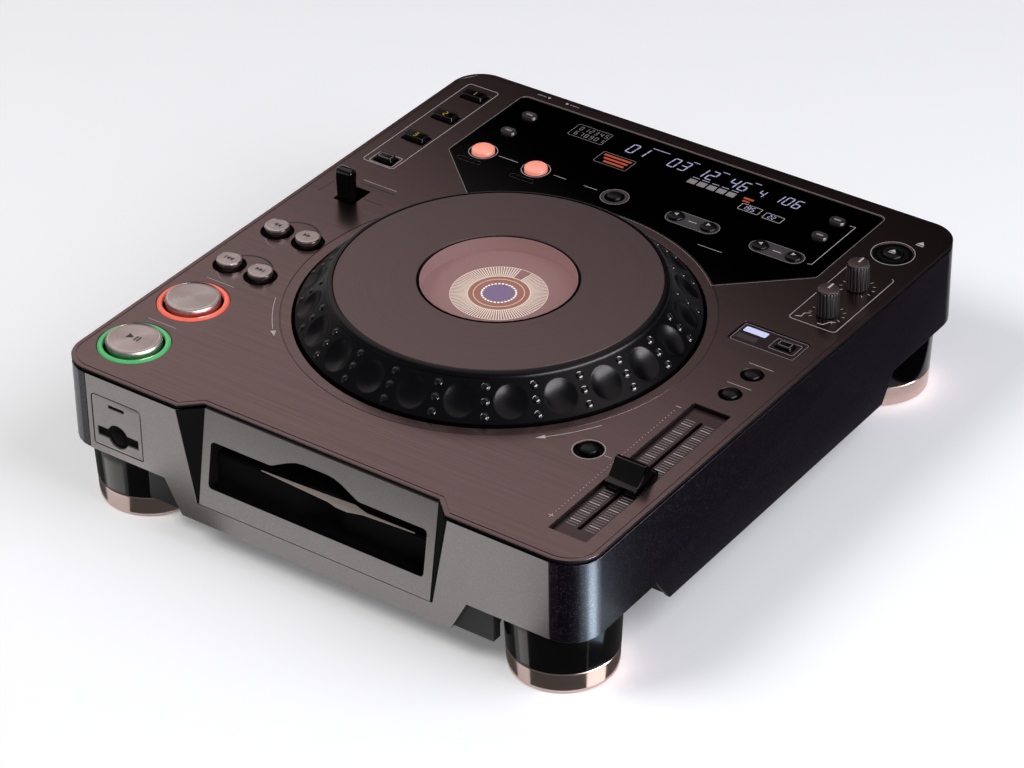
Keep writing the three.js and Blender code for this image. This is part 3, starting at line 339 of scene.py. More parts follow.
def linear(code):
    """An sRGB hex colour as linear red, green, blue and alpha."""
    values = [int(code[i : i + 2], 16) / 255 for i in (1, 3, 5)]
    return (*[v / 12.92 if v <= 0.04045 else ((v + 0.055) / 1.055) ** 2.4 for v in values], 1.0)


def add(tree, kind, inputs=(), **settings):
    """Adds a node with its settings, and sets or links its inputs; returns the node."""
    node = tree.nodes.new(kind)
    for name, value in settings.items():
        setattr(node, name, value)
    for name, value in dict(inputs).items():
        if isinstance(value, bpy.types.NodeSocket):
            tree.links.new(value, node.inputs[name])
        else:
            node.inputs[name].default_value = value
    return node


# Finishes


def brushed(tree, length, pitch):
    """Noise drawn out along X, as a belt leaves it."""
    place = add(tree, "ShaderNodeTexCoord").outputs["Object"]
    scale = (length * MM, pitch * MM, pitch * MM)
    lines = add(tree, "ShaderNodeMapping", {"Vector": place, "Scale": scale}, vector_type="TEXTURE")
    return add(tree, "ShaderNodeTexNoise", {"Vector": lines.outputs[0], "Scale": 1.0, "Detail": 3.0})


def spun(tree, centre, pitch):
    """Noise that changes with the distance from an axis and hardly at all round it."""
    place = add(tree, "ShaderNodeTexCoord").outputs["Object"]
    middle = tuple(np.array((*centre, 0)) * MM + ORIGIN)
    flat = (pitch * MM, pitch * MM, 1e6)
    local = add(
        tree, "ShaderNodeMapping", {"Vector": place, "Location": middle, "Scale": flat},
        vector_type="TEXTURE",
    )
    radius = add(tree, "ShaderNodeVectorMath", {0: local.outputs[0]}, operation="LENGTH")
    way = add(tree, "ShaderNodeVectorMath", {0: local.outputs[0]}, operation="NORMALIZE")
    parts = add(tree, "ShaderNodeSeparateXYZ", {0: way.outputs[0]})
    joined = add(
        tree, "ShaderNodeCombineXYZ",
        {"X": radius.outputs["Value"], "Y": parts.outputs[0], "Z": parts.outputs[1]},
    )
    return add(
        tree, "ShaderNodeTexNoise", {"Vector": joined.outputs[0], "Scale": 1.0, "Detail": 3.0}
    )


def moulded(tree, grit):
    """Even noise, as a blasted mould leaves it."""
    place = add(tree, "ShaderNodeTexCoord").outputs["Object"]
    return add(tree, "ShaderNodeTexNoise", {"Vector": place, "Scale": 1 / (grit * MM), "Detail": 2.0})


def chosen_colour(name):
    """A colour from the sidebar, as linear red, green, blue and alpha."""
    return (*getattr(bpy.context.scene.player_colours, name), 1.0)


def chosen_size(name):
    """A size from the sidebar, in millimetres."""
    return getattr(bpy.context.scene.player_sizes, name) / MM


def empty_tree(holder):
    """Turns on the nodes of a new material or world, empties its tree and returns it."""
    holder.use_nodes = True
    holder.node_tree.nodes.clear()
    return holder.node_tree


def flecked(tree, tint, size, share, code):
    """Flecks in a colour: of many small cells, a share goes over to the flecks' own colour."""
    place = add(tree, "ShaderNodeTexCoord").outputs["Object"]
    cells = add(tree, "ShaderNodeTexVoronoi", {"Vector": place, "Scale": 1 / (size * MM)})
    chance = add(tree, "ShaderNodeSeparateColor", {0: cells.outputs["Color"]})
    chosen = {"Value": chance.outputs[0], "From Min": 1 - share, "From Max": 1.0}
    bright = add(tree, "ShaderNodeMapRange", chosen)
    mixed = {"Factor": bright.outputs[0], "A": tint, "B": linear(code)[:3]}
    return add(tree, "ShaderNodeMix", mixed, data_type="VECTOR").outputs["Result"]


# A fan of turned lines, with a painted highlight in its colour: the way in which the painted highlight
# is brightest, where its brightness starts to rise, its least and greatest brightness, and how far the
# lines draw a reflection out.
PAINTED_FAN_WAY, PAINTED_FAN_START, PAINTED_FAN_DIM, PAINTED_FAN_BRIGHT, FAN_DRAW = (0.6, 0.8, 0.0), 0.3, 0.8, 1.25, 0.85


def fanned(tree, tint, centre):
    """Shader inputs for fine lines turned round a centre. They draw a reflection out along
    themselves, and a painted highlight makes them brighter by how far the way out from the centre
    lies along the fan's way."""
    place = add(tree, "ShaderNodeTexCoord").outputs["Object"]
    middle = tuple(np.array((*centre, 0)) * MM + ORIGIN)
    arm = add(tree, "ShaderNodeVectorMath", {0: place, 1: middle}, operation="SUBTRACT").outputs[0]
    tangent = add(tree, "ShaderNodeVectorMath", {0: (0, 0, 1), 1: arm}, operation="CROSS_PRODUCT")
    way = add(tree, "ShaderNodeVectorMath", {0: arm}, operation="NORMALIZE").outputs[0]
    toward = add(tree, "ShaderNodeVectorMath", {0: way, 1: PAINTED_FAN_WAY}, operation="DOT_PRODUCT")
    size = add(tree, "ShaderNodeMath", {0: toward.outputs["Value"]}, operation="ABSOLUTE").outputs[0]
    stretch = {"Value": size, "From Min": PAINTED_FAN_START, "To Min": PAINTED_FAN_DIM, "To Max": PAINTED_FAN_BRIGHT}
    share = add(tree, "ShaderNodeMapRange", stretch, interpolation_type="SMOOTHSTEP").outputs[0]
    # Painted highlight: the colour is made brighter along the fan's way and darker across it.
    lit = add(tree, "ShaderNodeVectorMath", {0: tint, "Scale": share}, operation="SCALE")
    return {"Base Color": lit.outputs[0], "Anisotropic": FAN_DRAW, "Tangent": tangent.outputs[0]}


PATTERN_LOW, PATTERN_HIGH = 0.3, 0.7  # the noise's own dark and light values


def surface(
    name, colour, roughness, metallic=0.0, pattern=moulded, scale=(0.6,), contrast=0.06, relief=0.02,
    specular=0.5, glow=0.0, alpha=1.0, fleck=None, fan=None,
):
    """A finish: one colour that its pattern lightens and darkens, and whose relief the same pattern
    gives. Flecks are given by their size, share and colour, a fan of turned lines with a painted
    highlight by its centre."""
    if name in bpy.data.materials:
        return bpy.data.materials[name]
    material = bpy.data.materials.new(name)
    tree = empty_tree(material)
    value = linear(colour) if colour.startswith("#") else chosen_colour(colour)
    noise = pattern(tree, *scale).outputs[0]
    stretch = {
        "Value": noise, "From Min": PATTERN_LOW, "From Max": PATTERN_HIGH,
        "To Min": 1 - contrast, "To Max": 1 + contrast,
    }
    level = add(tree, "ShaderNodeMapRange", stretch).outputs[0]
    scaled = {0: value[:3], "Scale": level}
    tint = add(tree, "ShaderNodeVectorMath", scaled, operation="SCALE").outputs[0]
    if fleck:
        tint = flecked(tree, tint, *fleck)
    bump = add(tree, "ShaderNodeBump", {"Height": noise, "Distance": relief * MM, "Strength": 1.0})
    inputs = {
        "Base Color": tint, "Roughness": roughness, "Metallic": metallic, "Normal": bump.outputs[0],
        "Specular IOR Level": specular, "Alpha": alpha,
    }
    # The fan's lines draw reflections out, and its painted highlight brightens the colour along one way.
    if fan:
        inputs |= fanned(tree, tint, fan)
    if glow:
        inputs |= {"Emission Color": tint, "Emission Strength": glow}
    shader = add(tree, "ShaderNodeBsdfPrincipled", inputs)
    add(tree, "ShaderNodeOutputMaterial", {"Surface": shader.outputs[0]})
    return material


# Each finish: name, colour and what surface() takes besides. Scales are the pattern's real sizes in
# millimetres, drawn a few times coarser where the comment says so.
FINISHES = {
    # Brushed and anodised aluminium: fine lines along X, drawn three times coarser to show.
    "brushed_aluminium": ("deck", dict(
        roughness=0.26, metallic=1.0, pattern=brushed, scale=(60, 0.5), contrast=0.13, relief=0.004)),
    # Turned aluminium of the dial's top: faint rings round its axis, drawn coarser to show.
    "turned_aluminium": ("dial_plate", dict(
        roughness=0.38, metallic=0.9, pattern=spun, scale=((JOG_X, JOG_Y), 0.5), contrast=0.06,
        relief=0.003)),
    # Satin black ABS: a soft grey sheen over fine mould grain.
    "black_abs": ("#0b0a0b", dict(roughness=0.45, scale=(0.5,), relief=0.01, specular=0.35)),
    # Satin black polycarbonate of the dial's rim and the round keys: a soft dark reflection.
    "black_polycarbonate": ("dial_rim", dict(
        roughness=0.3, scale=(2.0,), contrast=0.1, relief=0.002, specular=0.17)),
    # The same polycarbonate polished, on the small studs: each one catches a point of light.
    "polished_studs": ("dial_rim", dict(
        roughness=0.1, scale=(2.0,), contrast=0.1, relief=0.001, specular=0.6)),
    # Smoked acrylic of the display window: deep black with a faint clear reflection.
    "smoked_acrylic": ("#020102", dict(
        roughness=0.07, scale=(8.0,), contrast=0.2, relief=0.0005, specular=0.12)),
    # Dark metallic enamel on steel: near black with small pale flakes in it.
    "flake_enamel": ("case", dict(
        roughness=0.3, metallic=0.2, scale=(0.45,), contrast=0.2, relief=0.014, specular=0.4,
        fleck=(0.45, 0.2, "#4a3d55"))),
    # Grey metallic enamel of the front: an even, slightly warm grey with fine flakes.
    "grey_enamel": ("front", dict(
        roughness=0.3, metallic=0.75, scale=(0.7,), contrast=0.05, relief=0.003,
        fleck=(0.4, 0.15, "#9c9690"))),
    # Black powder coat on the steel tray: matt, with a coarse grain.
    "powder_coat": ("#121013", dict(roughness=0.6, scale=(0.7,), contrast=0.2, relief=0.03)),
    # Matt black ABS inside the slot and the finger recess: it hands almost nothing back. The same
    # black also paints shade on the slot's walls, the front panel's top face and the deck's cut edge.
    "matt_black_abs": ("#020202", dict(roughness=0.8, scale=(0.5,), relief=0.01, specular=0.1)),
    # Smoked mauve acrylic of the jog mode panel.
    "mauve_acrylic": ("#2c2024", dict(
        roughness=0.12, scale=(8.0,), contrast=0.1, relief=0.0005, specular=0.3)),
    # Painted shade: a darker copy of the grey enamel on the panel's cut edges in the notch, a dull
    # purple strip.
    "dusk_enamel": ("#493b45", dict(roughness=0.5, scale=(0.7,), relief=0.003)),
    # A painted highlight: a pale strip on the disc guide's edge, where light shows through the slot's
    # arch.
    "painted_guide_highlight": ("#a3968f", dict(roughness=0.8, scale=(0.4,), contrast=0.12)),
    # Glossy black ABS of the legs: dark, with clear upright reflections.
    "glossy_abs": ("#060507", dict(
        roughness=0.12, scale=(3.0,), contrast=0.2, relief=0.002, specular=0.3)),
    # Nickel-plated steel of the foot rings: a bright warm mirror with dark bands.
    "nickel_plate": ("foot_rings", dict(
        roughness=0.19, metallic=1.0, scale=(2.0,), contrast=0.03, relief=0.0005)),
    # Nitrile rubber sole: matt black.
    "nitrile_rubber": ("#0a0a0a", dict(roughness=0.85, scale=(0.6,), contrast=0.2)),
    # Chrome-plated ABS edge of a cap: a sharp bright rim.
    "chrome_plate": ("#cfc9c8", dict(
        roughness=0.12, metallic=1.0, scale=(2.0,), contrast=0.02, relief=0.0005)),
    # Tinted acrylic over the dial's display: a rosy veil that lets the print through.
    "rose_acrylic": ("dial_glass", dict(
        roughness=0.05, scale=(6.0,), contrast=0.03, relief=0.0005, alpha=0.14)),
    # Dark anodised aluminium of the slider's bed: a dull sheen along the slot.
    "dark_anodised": ("#4f4143", dict(
        roughness=0.4, metallic=0.9, pattern=brushed, scale=(20, 0.5), contrast=0.1, relief=0.004)),
    # Grey satin ABS of the rear keys and the knobs' lines, and a darker one of the oval keys.
    "grey_abs": ("#5a5053", dict(roughness=0.35, scale=(0.4,), relief=0.008)),
    "dim_abs": ("#2a2528", dict(roughness=0.3, scale=(0.4,), relief=0.008, specular=0.6)),
    # Gold-plated brass of the sockets: a warm bright metal.
    "gold_plate": ("#c9a552", dict(
        roughness=0.2, metallic=1.0, scale=(1.0,), contrast=0.03, relief=0.001)),
}
# Screen inks: flat and a little matt. The grey one also paints a small highlight on the oval keys.
INKS = {
    "white_ink": "#b9b0ae", "grey_ink_and_painted_highlight": "#8b8384", "slate_ink": "#353033", "dark_ink": "#2b2224",
    "yellow_ink": "#b89a20",
}
FINISHES |= {
    name: (code, dict(roughness=0.6, scale=(0.3,), relief=0.005)) for name, code in INKS.items()
}
# Opal acrylic lit from inside: an even colour with a soft glow. Each has its roughness and glow.
OPALS = {
    "lit_green": ("start_lamp", 0.3, 0.2), "lit_coral": ("cue_lamp", 0.3, 0.25),
    "lit_salmon": ("#ff9a86", 0.25, 0.3),
}
FINISHES |= {
    name: (code, dict(roughness=rough, scale=(1.0,), contrast=0.08, relief=0.002, glow=glow))
    for name, (code, rough, glow) in OPALS.items()
}
# Fluorescent characters that light themselves. Each has its contrast and glow.
CHARACTERS = {
    "lit_white": ("#a9a7c4", 0.05, 0.25), "lit_orange": ("#a5462c", 0.1, 0.3),
    "lit_blue": ("#c6cbea", 0.1, 0.25),
}
FINISHES |= {
    name: (code, dict(roughness=0.5, scale=(0.4,), contrast=contrast, glow=glow))
    for name, (code, contrast, glow) in CHARACTERS.items()
}
# The dial display's prints, lit from behind under the glass. Each has its glow.
DISPLAY_PRINTS = {
    "white_print": ("#ffffff", 0.9), "cream_print": ("#f2e4d2", 0.45), "brown_print": ("#a46c5a", 0.35),
    "violet_print": ("#7b6c96", 0.35), "taupe_print": ("#93706f", 0.33),
}
FINISHES |= {
    name: (code, dict(roughness=0.6, scale=(0.4,), glow=glow))
    for name, (code, glow) in DISPLAY_PRINTS.items()
}
# Coloured nylon inserts of the sockets: satin and even.
NYLONS = {"white_nylon": "#c9c6c0", "red_nylon": "#a3202a", "orange_nylon": "#c9641e"}
FINISHES |= {name: (code, dict(roughness=0.5, scale=(0.5,))) for name, code in NYLONS.items()}


def finish(name):
    """The material of one row of the finishes, made once."""
    colour, settings = FINISHES[name]
    return surface(name, colour, **settings)


def cap_finish(node):
    """Aluminium turned about one key's own axis: fine rings whose two fans of light are a painted
    highlight in the colour.
    """
    x, y, _ = spot(node)
    return surface(
        "turned_cap_painted_fan_" + node, "key_caps", roughness=0.34, metallic=1.0, pattern=spun,
        scale=((x, y), 0.3), contrast=0.12, relief=0.003, fan=(x, y),
    )


# Pieces


def piece(name, body, groups, replaces=(), edge=30):
    """Makes one piece from groups of shells, each group with its material, puts it on its body in the
    frame, and hides the nodes that it stands for."""
    points, faces, marks, count = [], [], [], 0
    mesh = bpy.data.meshes.new(name)
    for index, (material, shells) in enumerate(groups):
        mesh.materials.append(finish(material) if isinstance(material, str) else material)
        for body_points, blocks in shells:
            points.append(body_points)
            for block in blocks:
                faces += (block + count).tolist()
                marks += [index] * len(block)
            count += len(body_points)
    mesh.from_pydata((np.vstack(points) * MM + ORIGIN).tolist(), [], faces)
    mesh.polygons.foreach_set("material_index", marks)
    mesh.polygons.foreach_set("use_smooth", [True] * len(faces))
    mesh.set_sharp_from_angle(angle=math.radians(edge))
    return settled(name, mesh, body, replaces)


def settled(name, mesh, body, replaces):
    """Puts a finished mesh into the scene, on its body and in its nodes' place."""
    item = bpy.data.objects.new(name, mesh)
    bpy.context.collection.objects.link(item)
    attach(item, body)
    if replaces:
        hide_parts(*replaces)
    return item


WELD = 5e-6  # metres: corners of a node's loose triangles that are nearer than this are one
# Degrees between two faces: below the first they are one flat face, past the second their edge is
# sharp, and past the third it is eased.
FLAT, SHARP, EASED = 0.5, 35, 40


def refined(node, materials, body, bevel=0.3, reshape=None):
    """A copy of a node with its loose triangles joined into whole faces, and its edges eased. The
    reshape is a function that first changes the copy, or gives some of its faces the second
    material."""
    form = bmesh.new()
    form.from_mesh(frame["nodes"][node].data)
    bmesh.ops.remove_doubles(form, verts=form.verts, dist=WELD)
    limit = math.radians(FLAT)
    bmesh.ops.dissolve_limit(form, angle_limit=limit, verts=form.verts, edges=form.edges)
    if reshape:
        reshape(form)
    mesh = bpy.data.meshes.new(node + "_eased")
    form.to_mesh(mesh)
    form.free()
    for material in materials.split():
        mesh.materials.append(finish(material))
    mesh.polygons.foreach_set("use_smooth", [True] * len(mesh.polygons))
    mesh.set_sharp_from_angle(angle=math.radians(SHARP))
    item = settled(node + "_eased", mesh, body, [node])
    if bevel:
        ease = item.modifiers.new("eased_edges", "BEVEL")
        ease.width = bevel * MM
        ease.segments = 2
        ease.limit_method = "ANGLE"
        ease.angle_limit = math.radians(EASED)
        ease.harden_normals = True
        ease.use_clamp_overlap = True
    return item


def eased(top, foot, ease=0.25):
    """Levels of a wall whose top edge is eased by a small slope."""
    return [(ease, top), (0, top - ease), (0, foot)]


SHEET_FOOT = DECK - 1.5
CORNER = 18.0  # radius of the deck's and the case's corners
# The notch round the disc slot: its back edge, half its width there, how much wider each side is
# at the front, and its foot. The guide is the shelf behind the slot.
NOTCH_EDGE, NOTCH_HALF, NOTCH_FLARE, NOTCH_FOOT = FRONT + 9.2, 72.0, 10.0, 29.5
GUIDE_TOP = 57.5


def deck_outline():
    """The deck's outline: four round corners, and the notch in the front edge."""
    near, far = FRONT, -FRONT
    wide = NOTCH_HALF + NOTCH_FLARE
    return rounded([
        (NOTCH_HALF, NOTCH_EDGE), (wide, near), (SIDE, near, CORNER), (SIDE, far, CORNER),
        (-SIDE, far, CORNER), (-SIDE, near, CORNER), (-wide, near), (-NOTCH_HALF, NOTCH_EDGE),
    ], 24)


WINDOW_HALF, WINDOW_BACK, WINDOW_FOOT = 116.8, 169.5, 98.7
WINDOW_ARC, WINDOW_START = 112.6, 47.0


def window_outline():
    """The display window's outline: an oblong whose front is cut by an arc round the dial."""
    front = arc(JOG_X, JOG_Y, WINDOW_ARC, 180 - WINDOW_START, WINDOW_START, 64)
    sides = rounded([
        tuple(front[-1]), (WINDOW_HALF, WINDOW_FOOT, 3), (WINDOW_HALF, WINDOW_BACK, 3),
        (-WINDOW_HALF, WINDOW_BACK, 3), (-WINDOW_HALF, WINDOW_FOOT, 3), tuple(front[0]),
    ])
    return np.vstack([front, sides[1:-1]])


PLAY_KEYS = {"play_button": "lit_green", "cue_button": "lit_coral"}
PAIR_RADIUS = 14.4
SEARCH_KEYS = ["track_back_button", "track_next_button", "search_back_button", "search_next_button"]
TEMPO_KEYS = ["tempo_range_button", "master_tempo_button"]
WINDOW_KEYS = {
    "loop_in_button": 6.4, "loop_out_button": 6.4, "loop_exit_button": 4.2, "wave_back_button": 4.4,
    "wave_next_button": 4.4, "call_back_button": 4.4, "call_next_button": 4.4,
}
OVAL_KEYS = ["time_button", "text_button", "memory_button", "delete_button"]
HOT_KEYS = ["hot_cue_1", "hot_cue_2", "hot_cue_3"]
KNOBS = ["brake_knob", "start_knob"]
# Radius of each round well in the deck, and width and depth of each oblong one.
WELLS = dict.fromkeys(PLAY_KEYS, 19.1) | dict.fromkeys(SEARCH_KEYS, 8.9)
WELLS |= dict.fromkeys(TEMPO_KEYS, 6.0) | {"eject_button": 10.5, "tempo_reset_button": 7.4}
WELLS |= dict.fromkeys(KNOBS, 3.4)
BLOCK_WELLS = dict.fromkeys(HOT_KEYS, (15.1, 9.6)) | {"record_button": (12.6, 8.6)}
DIAL_WELL = 106.3
PANEL_GAP = 0.3  # round the display window and the mode panel
# Middle, width and depth of the slider's bed, the mode panel and the lever's slot.
BED = (138.9, -97.35, 21.4, 126.3)
MODE = (129.2, 34.1, 38.8, 17.8)
LEVER_SLOT = (-132.0, 29.7, 12.6, 16.6)
GROOVE_DEPTH = 0.3


def deck():
    """The brushed sheet: its outline with an engraved line inside the edge, a sloped turned seat
    round the dial, and eased holes for all that comes through it. Its cut edge is painted black as
    shade."""
    foot = SHEET_FOOT
    groove, cut = chosen_size("groove_inset"), chosen_size("groove_width") / 2
    low, floor = DECK - GROOVE_DEPTH, cut * 0.7
    outer = [
        (groove + cut, DECK), (groove + floor, low), (groove - floor, low), (groove - cut, DECK),
        (0.18, DECK), (0, DECK - 0.18), (0, DECK - 0.35), (0.7, DECK - 0.35), (0.7, foot),
    ]
    seat = [
        (6.4, DECK), (6.2, low), (5.8, low), (5.6, DECK - 0.05), (0.3, DECK - 0.2),
        (0, DECK - 0.5), (0, foot),
    ]
    holes = [(circle(JOG_X, JOG_Y, DIAL_WELL, 240), seat)]
    edge = eased(DECK, foot)
    holes += [(circle(*spot(key)[:2], radius), edge) for key, radius in WELLS.items()]
    holes += [(shifted(window_outline(), -PANEL_GAP), eased(DECK, foot, 0.35))]
    holes += [(oblong(*spot(key)[:2], *size, 1), edge) for key, size in BLOCK_WELLS.items()]
    holes += [(oblong(*MODE[:2], MODE[2] + 2 * PANEL_GAP, MODE[3] + 2 * PANEL_GAP, 1.8), edge)]
    holes += [(oblong(*LEVER_SLOT, 0.4), edge), (oblong(*BED, 0.4), edge)]
    sheet = plate(deck_outline(), outer, holes)
    # Painted shade: a black strip round the lower part of the sheet's cut edge.
    painted_shade_section = [(0.05, foot), (0.65, foot), (0.65, DECK - 0.4), (0.05, DECK - 0.4)]
    painted_shade_edge = carried(painted_shade_section, deck_outline())
    groups = [("brushed_aluminium", [sheet]), ("matt_black_abs", [painted_shade_edge])]
    piece("deck_sheet", "player", groups, ["deck_plate"])
    refined("deck_frame", "matt_black_abs", "player", 0, narrow_post)


GLASS_SHARE = 0.965  # the post's rim and the plate's hole have this share of the frame's radius
CUP_RADIUS = 40.5  # outside of the display's lit cup
POST_LOW, POST_HIGH, RECESS_TOP, RIM_START = 38, 44, 41, 42.3  # radii in the still post's recess
POST_FOOT = 94  # height from which the post is narrowed


def narrow_post(form):
    """Thins the rim of the still post round the dial's glass: its outside is drawn in by one share,
    and the two steps of its recess are moved out to the display's cup."""
    middle = Vector((JOG_X * MM, JOG_Y * MM + ORIGIN[1]))
    for corner in form.verts:
        away = corner.co.xy - middle
        radius = away.length / MM
        if corner.co.z < POST_FOOT * MM or not POST_LOW < radius < POST_HIGH:
            continue
        step = CUP_RADIUS + (0.3 if radius > RECESS_TOP else 0.1)
        new = radius * GLASS_SHARE if radius > RIM_START else step
        corner.co.xy = middle + away * new / radius


def arrow(x, y, angle, length, width):
    """A flat arrow head that points along an angle in degrees."""
    head = np.array([(0, -width / 2), (length, 0), (0, width / 2)])
    spin = np.array(Matrix.Rotation(math.radians(angle), 2))
    return head @ spin.T + (x, y)


FINE, LINE = 0.3, 0.35  # widths of printed lines
# Frames round the hot cue keys, the record key and the knobs: middle, width, depth and radius.
HOT_FRAME, RECORD_FRAME = (-140.35, 113.7, 20.7, 100.6, 2.2), (-139.5, 70, 15.2, 11.2, 1.4)
KNOB_FRAME = (139, 88.7, 27.6, 60.6, 2.4)
# The two arrows round the dial: their radius, their first and last angle, and their heads' angle
# from the front, in degrees.
ARROW_RADIUS, ARROWS, ARROW_HEAD = 116.2, ((208, 222.6), (-29, -43.6)), 46.5
SCALE_X, SCALE_ENDS, SCALE_DOTS = 123.8, (-147.8, -45.5), 41  # dotted line beside the slider
KNOB_TICKS = (8.0, 9.6)  # inner and outer radius of the marks round a knob
BACK_ROW = 175.6  # row of marks at the deck's back edge
# Straight prints: what each one is, its width and its points.
DARK_STROKES = {
    "bar behind the lever": (1.0, [(-136, 42.5), (-113, 42.5)]),
    "line at the lever's middle": (0.5, [(-124.5, 29.7), (-111, 29.7)]),
    "line at the lever's left": (0.5, [(-150, 23.7), (-149, 36)]),
}
WHITE_STROKES = {
    "line behind the lever": (FINE, [(-136.5, 45.8), (-114, 45.8)]),
    "slow curve of the left knob": (0.5, [(127.6, 61.4), (130.6, 62.8), (130.2, 65.9), (133, 68.1)]),
    "fast curve of the right knob": (0.5, [(140.6, 61.7), (143.6, 61.9), (145.8, 66.4), (148.2, 67.1)]),
    "plus, across": (0.4, [(122.3, -151.8), (125.3, -151.8)]),
    "plus, upright": (0.4, [(SCALE_X, -153.3), (SCALE_X, -150.3)]),
    "minus": (0.4, [(122.3, -41.5), (125.3, -41.5)]),
    "left line at the back": (FINE, [(-112, BACK_ROW), (-106, BACK_ROW)]),
    "right line at the back": (FINE, [(-90, BACK_ROW), (-84, BACK_ROW)]),
}
# Lines by keys: from left and right of the key's middle, and how far behind it.
KEY_LINES = dict.fromkeys(TEMPO_KEYS, (-7, 7, 8.4)) | dict.fromkeys(PLAY_KEYS, (-9, 9, 22.4))
KEY_LINES |= {"tempo_reset_button": (9, 13.6, 0)}
KEY_RINGS = {"tempo_reset_button": 8.2, "eject_button": 11.6}


def deck_prints():
    """Lines, arrows, frames and scale marks printed on the deck sheet."""
    z = DECK
    white = [line(oblong(*frame), LINE, z, True) for frame in (HOT_FRAME, RECORD_FRAME)]
    white += [line(points, width, z) for width, points in WHITE_STROKES.values()]
    dark = [line(points, width, z) for width, points in DARK_STROKES.values()]
    grey = [line(shifted(window_outline(), -0.95), 0.25, z, True)]
    for side, ends in zip((-1, 1), ARROWS):
        white.append(line(arc(JOG_X, JOG_Y, ARROW_RADIUS, *ends), LINE, z))
        angle = 270 + side * ARROW_HEAD
        tip = spoke(JOG_X, JOG_Y, angle, ARROW_RADIUS)[0]
        white.append(patch(arrow(*tip, angle - side * 90, 5.0, 3.0), z))
    for left, right in (SEARCH_KEYS[:2], SEARCH_KEYS[2:]):
        x, y = (np.array(spot(left)[:2]) + spot(right)[:2]) / 2
        dark.append(line(arc(x, y, PAIR_RADIUS, 40, 140), 1.1, z))
        grey.append(line(arc(x, y, PAIR_RADIUS, 220, 268), 0.25, z))
    for key in KNOBS:
        for angle in np.linspace(-45, 225, 11):
            white.append(line(spoke(*spot(key)[:2], angle, *KNOB_TICKS), 0.4, z))
    # The knobs' frame is open at its left front corner.
    white.append(line(np.roll(oblong(*KNOB_FRAME), 4, axis=0)[:-6], LINE, z))
    white += [patch(circle(SCALE_X, y, 0.28, 8), z) for y in np.linspace(*SCALE_ENDS, SCALE_DOTS)]
    for key, (left, right, behind) in KEY_LINES.items():
        x, y, _ = spot(key)
        white.append(line([(x + left, y + behind), (x + right, y + behind)], FINE, z))
    for key, radius in KEY_RINGS.items():
        white.append(line(circle(*spot(key)[:2], radius), FINE, z, True))
    x, y, _ = spot("eject_button")
    white.append(patch(np.array([(x + 5.4, y + 15.5), (x + 9.8, y + 15.5), (x + 7.6, y + 18.6)]), z))
    white.append(line([(x + 5.4, y + 14.4), (x + 9.8, y + 14.4)], 0.7, z))
    white += [patch(circle(x, BACK_ROW, 0.8, 16), z) for x in (-104, -92)]
    groups = [("white_ink", white), ("dark_ink", dark), ("grey_ink_and_painted_highlight", grey)]
    piece("deck_prints", "player", groups)


# The outline of the painted highlight on the disc guide's edge, seen through the slot's arch, from the
# left.
GUIDE_HIGHLIGHT = [
    (-38, -170.3), (5.5, -172.7), (11, -174.1), (18, -174.3), (26.3, -171.9), (56, -169.9),
    (56, -169.4), (27, -169.7), (18.2, -167.3), (-11.5, -168.9), (-38, -169.9),
]


def case():
    """The enamelled case, the tray under it, the black moulding round the disc slot, and a pale painted
    highlight on the disc guide's edge.
    """
    refined("main_case", "flake_enamel", "player", 0.5)
    refined("chassis_tray", "powder_coat", "player", 0.4)
    refined("slot_housing", "matt_black_abs", "player", 0.2, flare_notch)
    # A pale strip on the disc guide's edge, shaped as the light that catches it: a painted highlight.
    levels = [(0.1, GUIDE_TOP + 0.35), (0, GUIDE_TOP + 0.25), (0, GUIDE_TOP - SUNK)]
    guide = plate(np.array(GUIDE_HIGHLIGHT), levels)
    piece("disc_guide_highlight", "player", [("painted_guide_highlight", [guide])])


def flare_notch(form):
    """Spreads the notch's upright sides into the flat slanting ones of the real front: a point in
    front of the leaning face moves out by the flare, times its distance from that face over the
    notch's depth. The cut along the leaning face keeps what lies behind it still."""
    top, foot = CASE_TOP, NOTCH_FOOT
    depth = NOTCH_EDGE - FRONT
    lean = depth / (top - foot)
    offset = ORIGIN[1]
    bmesh.ops.bisect_plane(
        form, geom=form.verts[:] + form.edges[:] + form.faces[:], dist=1e-6,
        plane_co=(0, offset + FRONT * MM, foot * MM), plane_no=(0, 1, -lean),
    )
    for corner in form.verts:
        across, along, height = corner.co.x / MM, (corner.co.y - offset) / MM, corner.co.z / MM
        ahead = FRONT + (height - foot) * lean - along
        if NOTCH_HALF - 0.1 < abs(across) < NOTCH_HALF + 1.6 and ahead > 0:
            corner.co.x += math.copysign(NOTCH_FLARE * ahead / depth, across) * MM


def shade_panel(form):
    """Flares the notch, and paints shade: the panel's top face black and its cut edges in the notch a
    dull purple.
    """
    flare_notch(form)
    form.normal_update()
    for face in form.faces:
        middle = face.calc_center_median() / MM
        notch = NOTCH_HALF < abs(middle.x) < NOTCH_HALF + NOTCH_FLARE and middle.z > NOTCH_FOOT + 2
        # Painted shade: the panel's top face, under the deck's edge, is made black.
        if face.normal.z > 0.9 and middle.z > 80:
            face.material_index = 1
        # Painted shade: the cut edges in the notch take the darker purple copy of the enamel.
        elif notch and abs(face.normal.x) > 0.8:
            face.material_index = 2


SLOT_HALF, SLOT_LOW, SLOT_HIGH = 67, 38, 76  # a box in the leaning face that holds the slot's walls


def shade_slot(form):
    """Paints shade black on the walls of the disc slot: the faces that look across the leaning face."""
    form.normal_update()
    for face in form.faces:
        middle = face.calc_center_median() / MM
        inside = abs(middle.x) < SLOT_HALF and SLOT_LOW < middle.z < SLOT_HIGH
        # Painted shade: the slot's walls in the grey bezel take the black.
        face.material_index = int(inside and abs(face.normal.y) < 0.5)


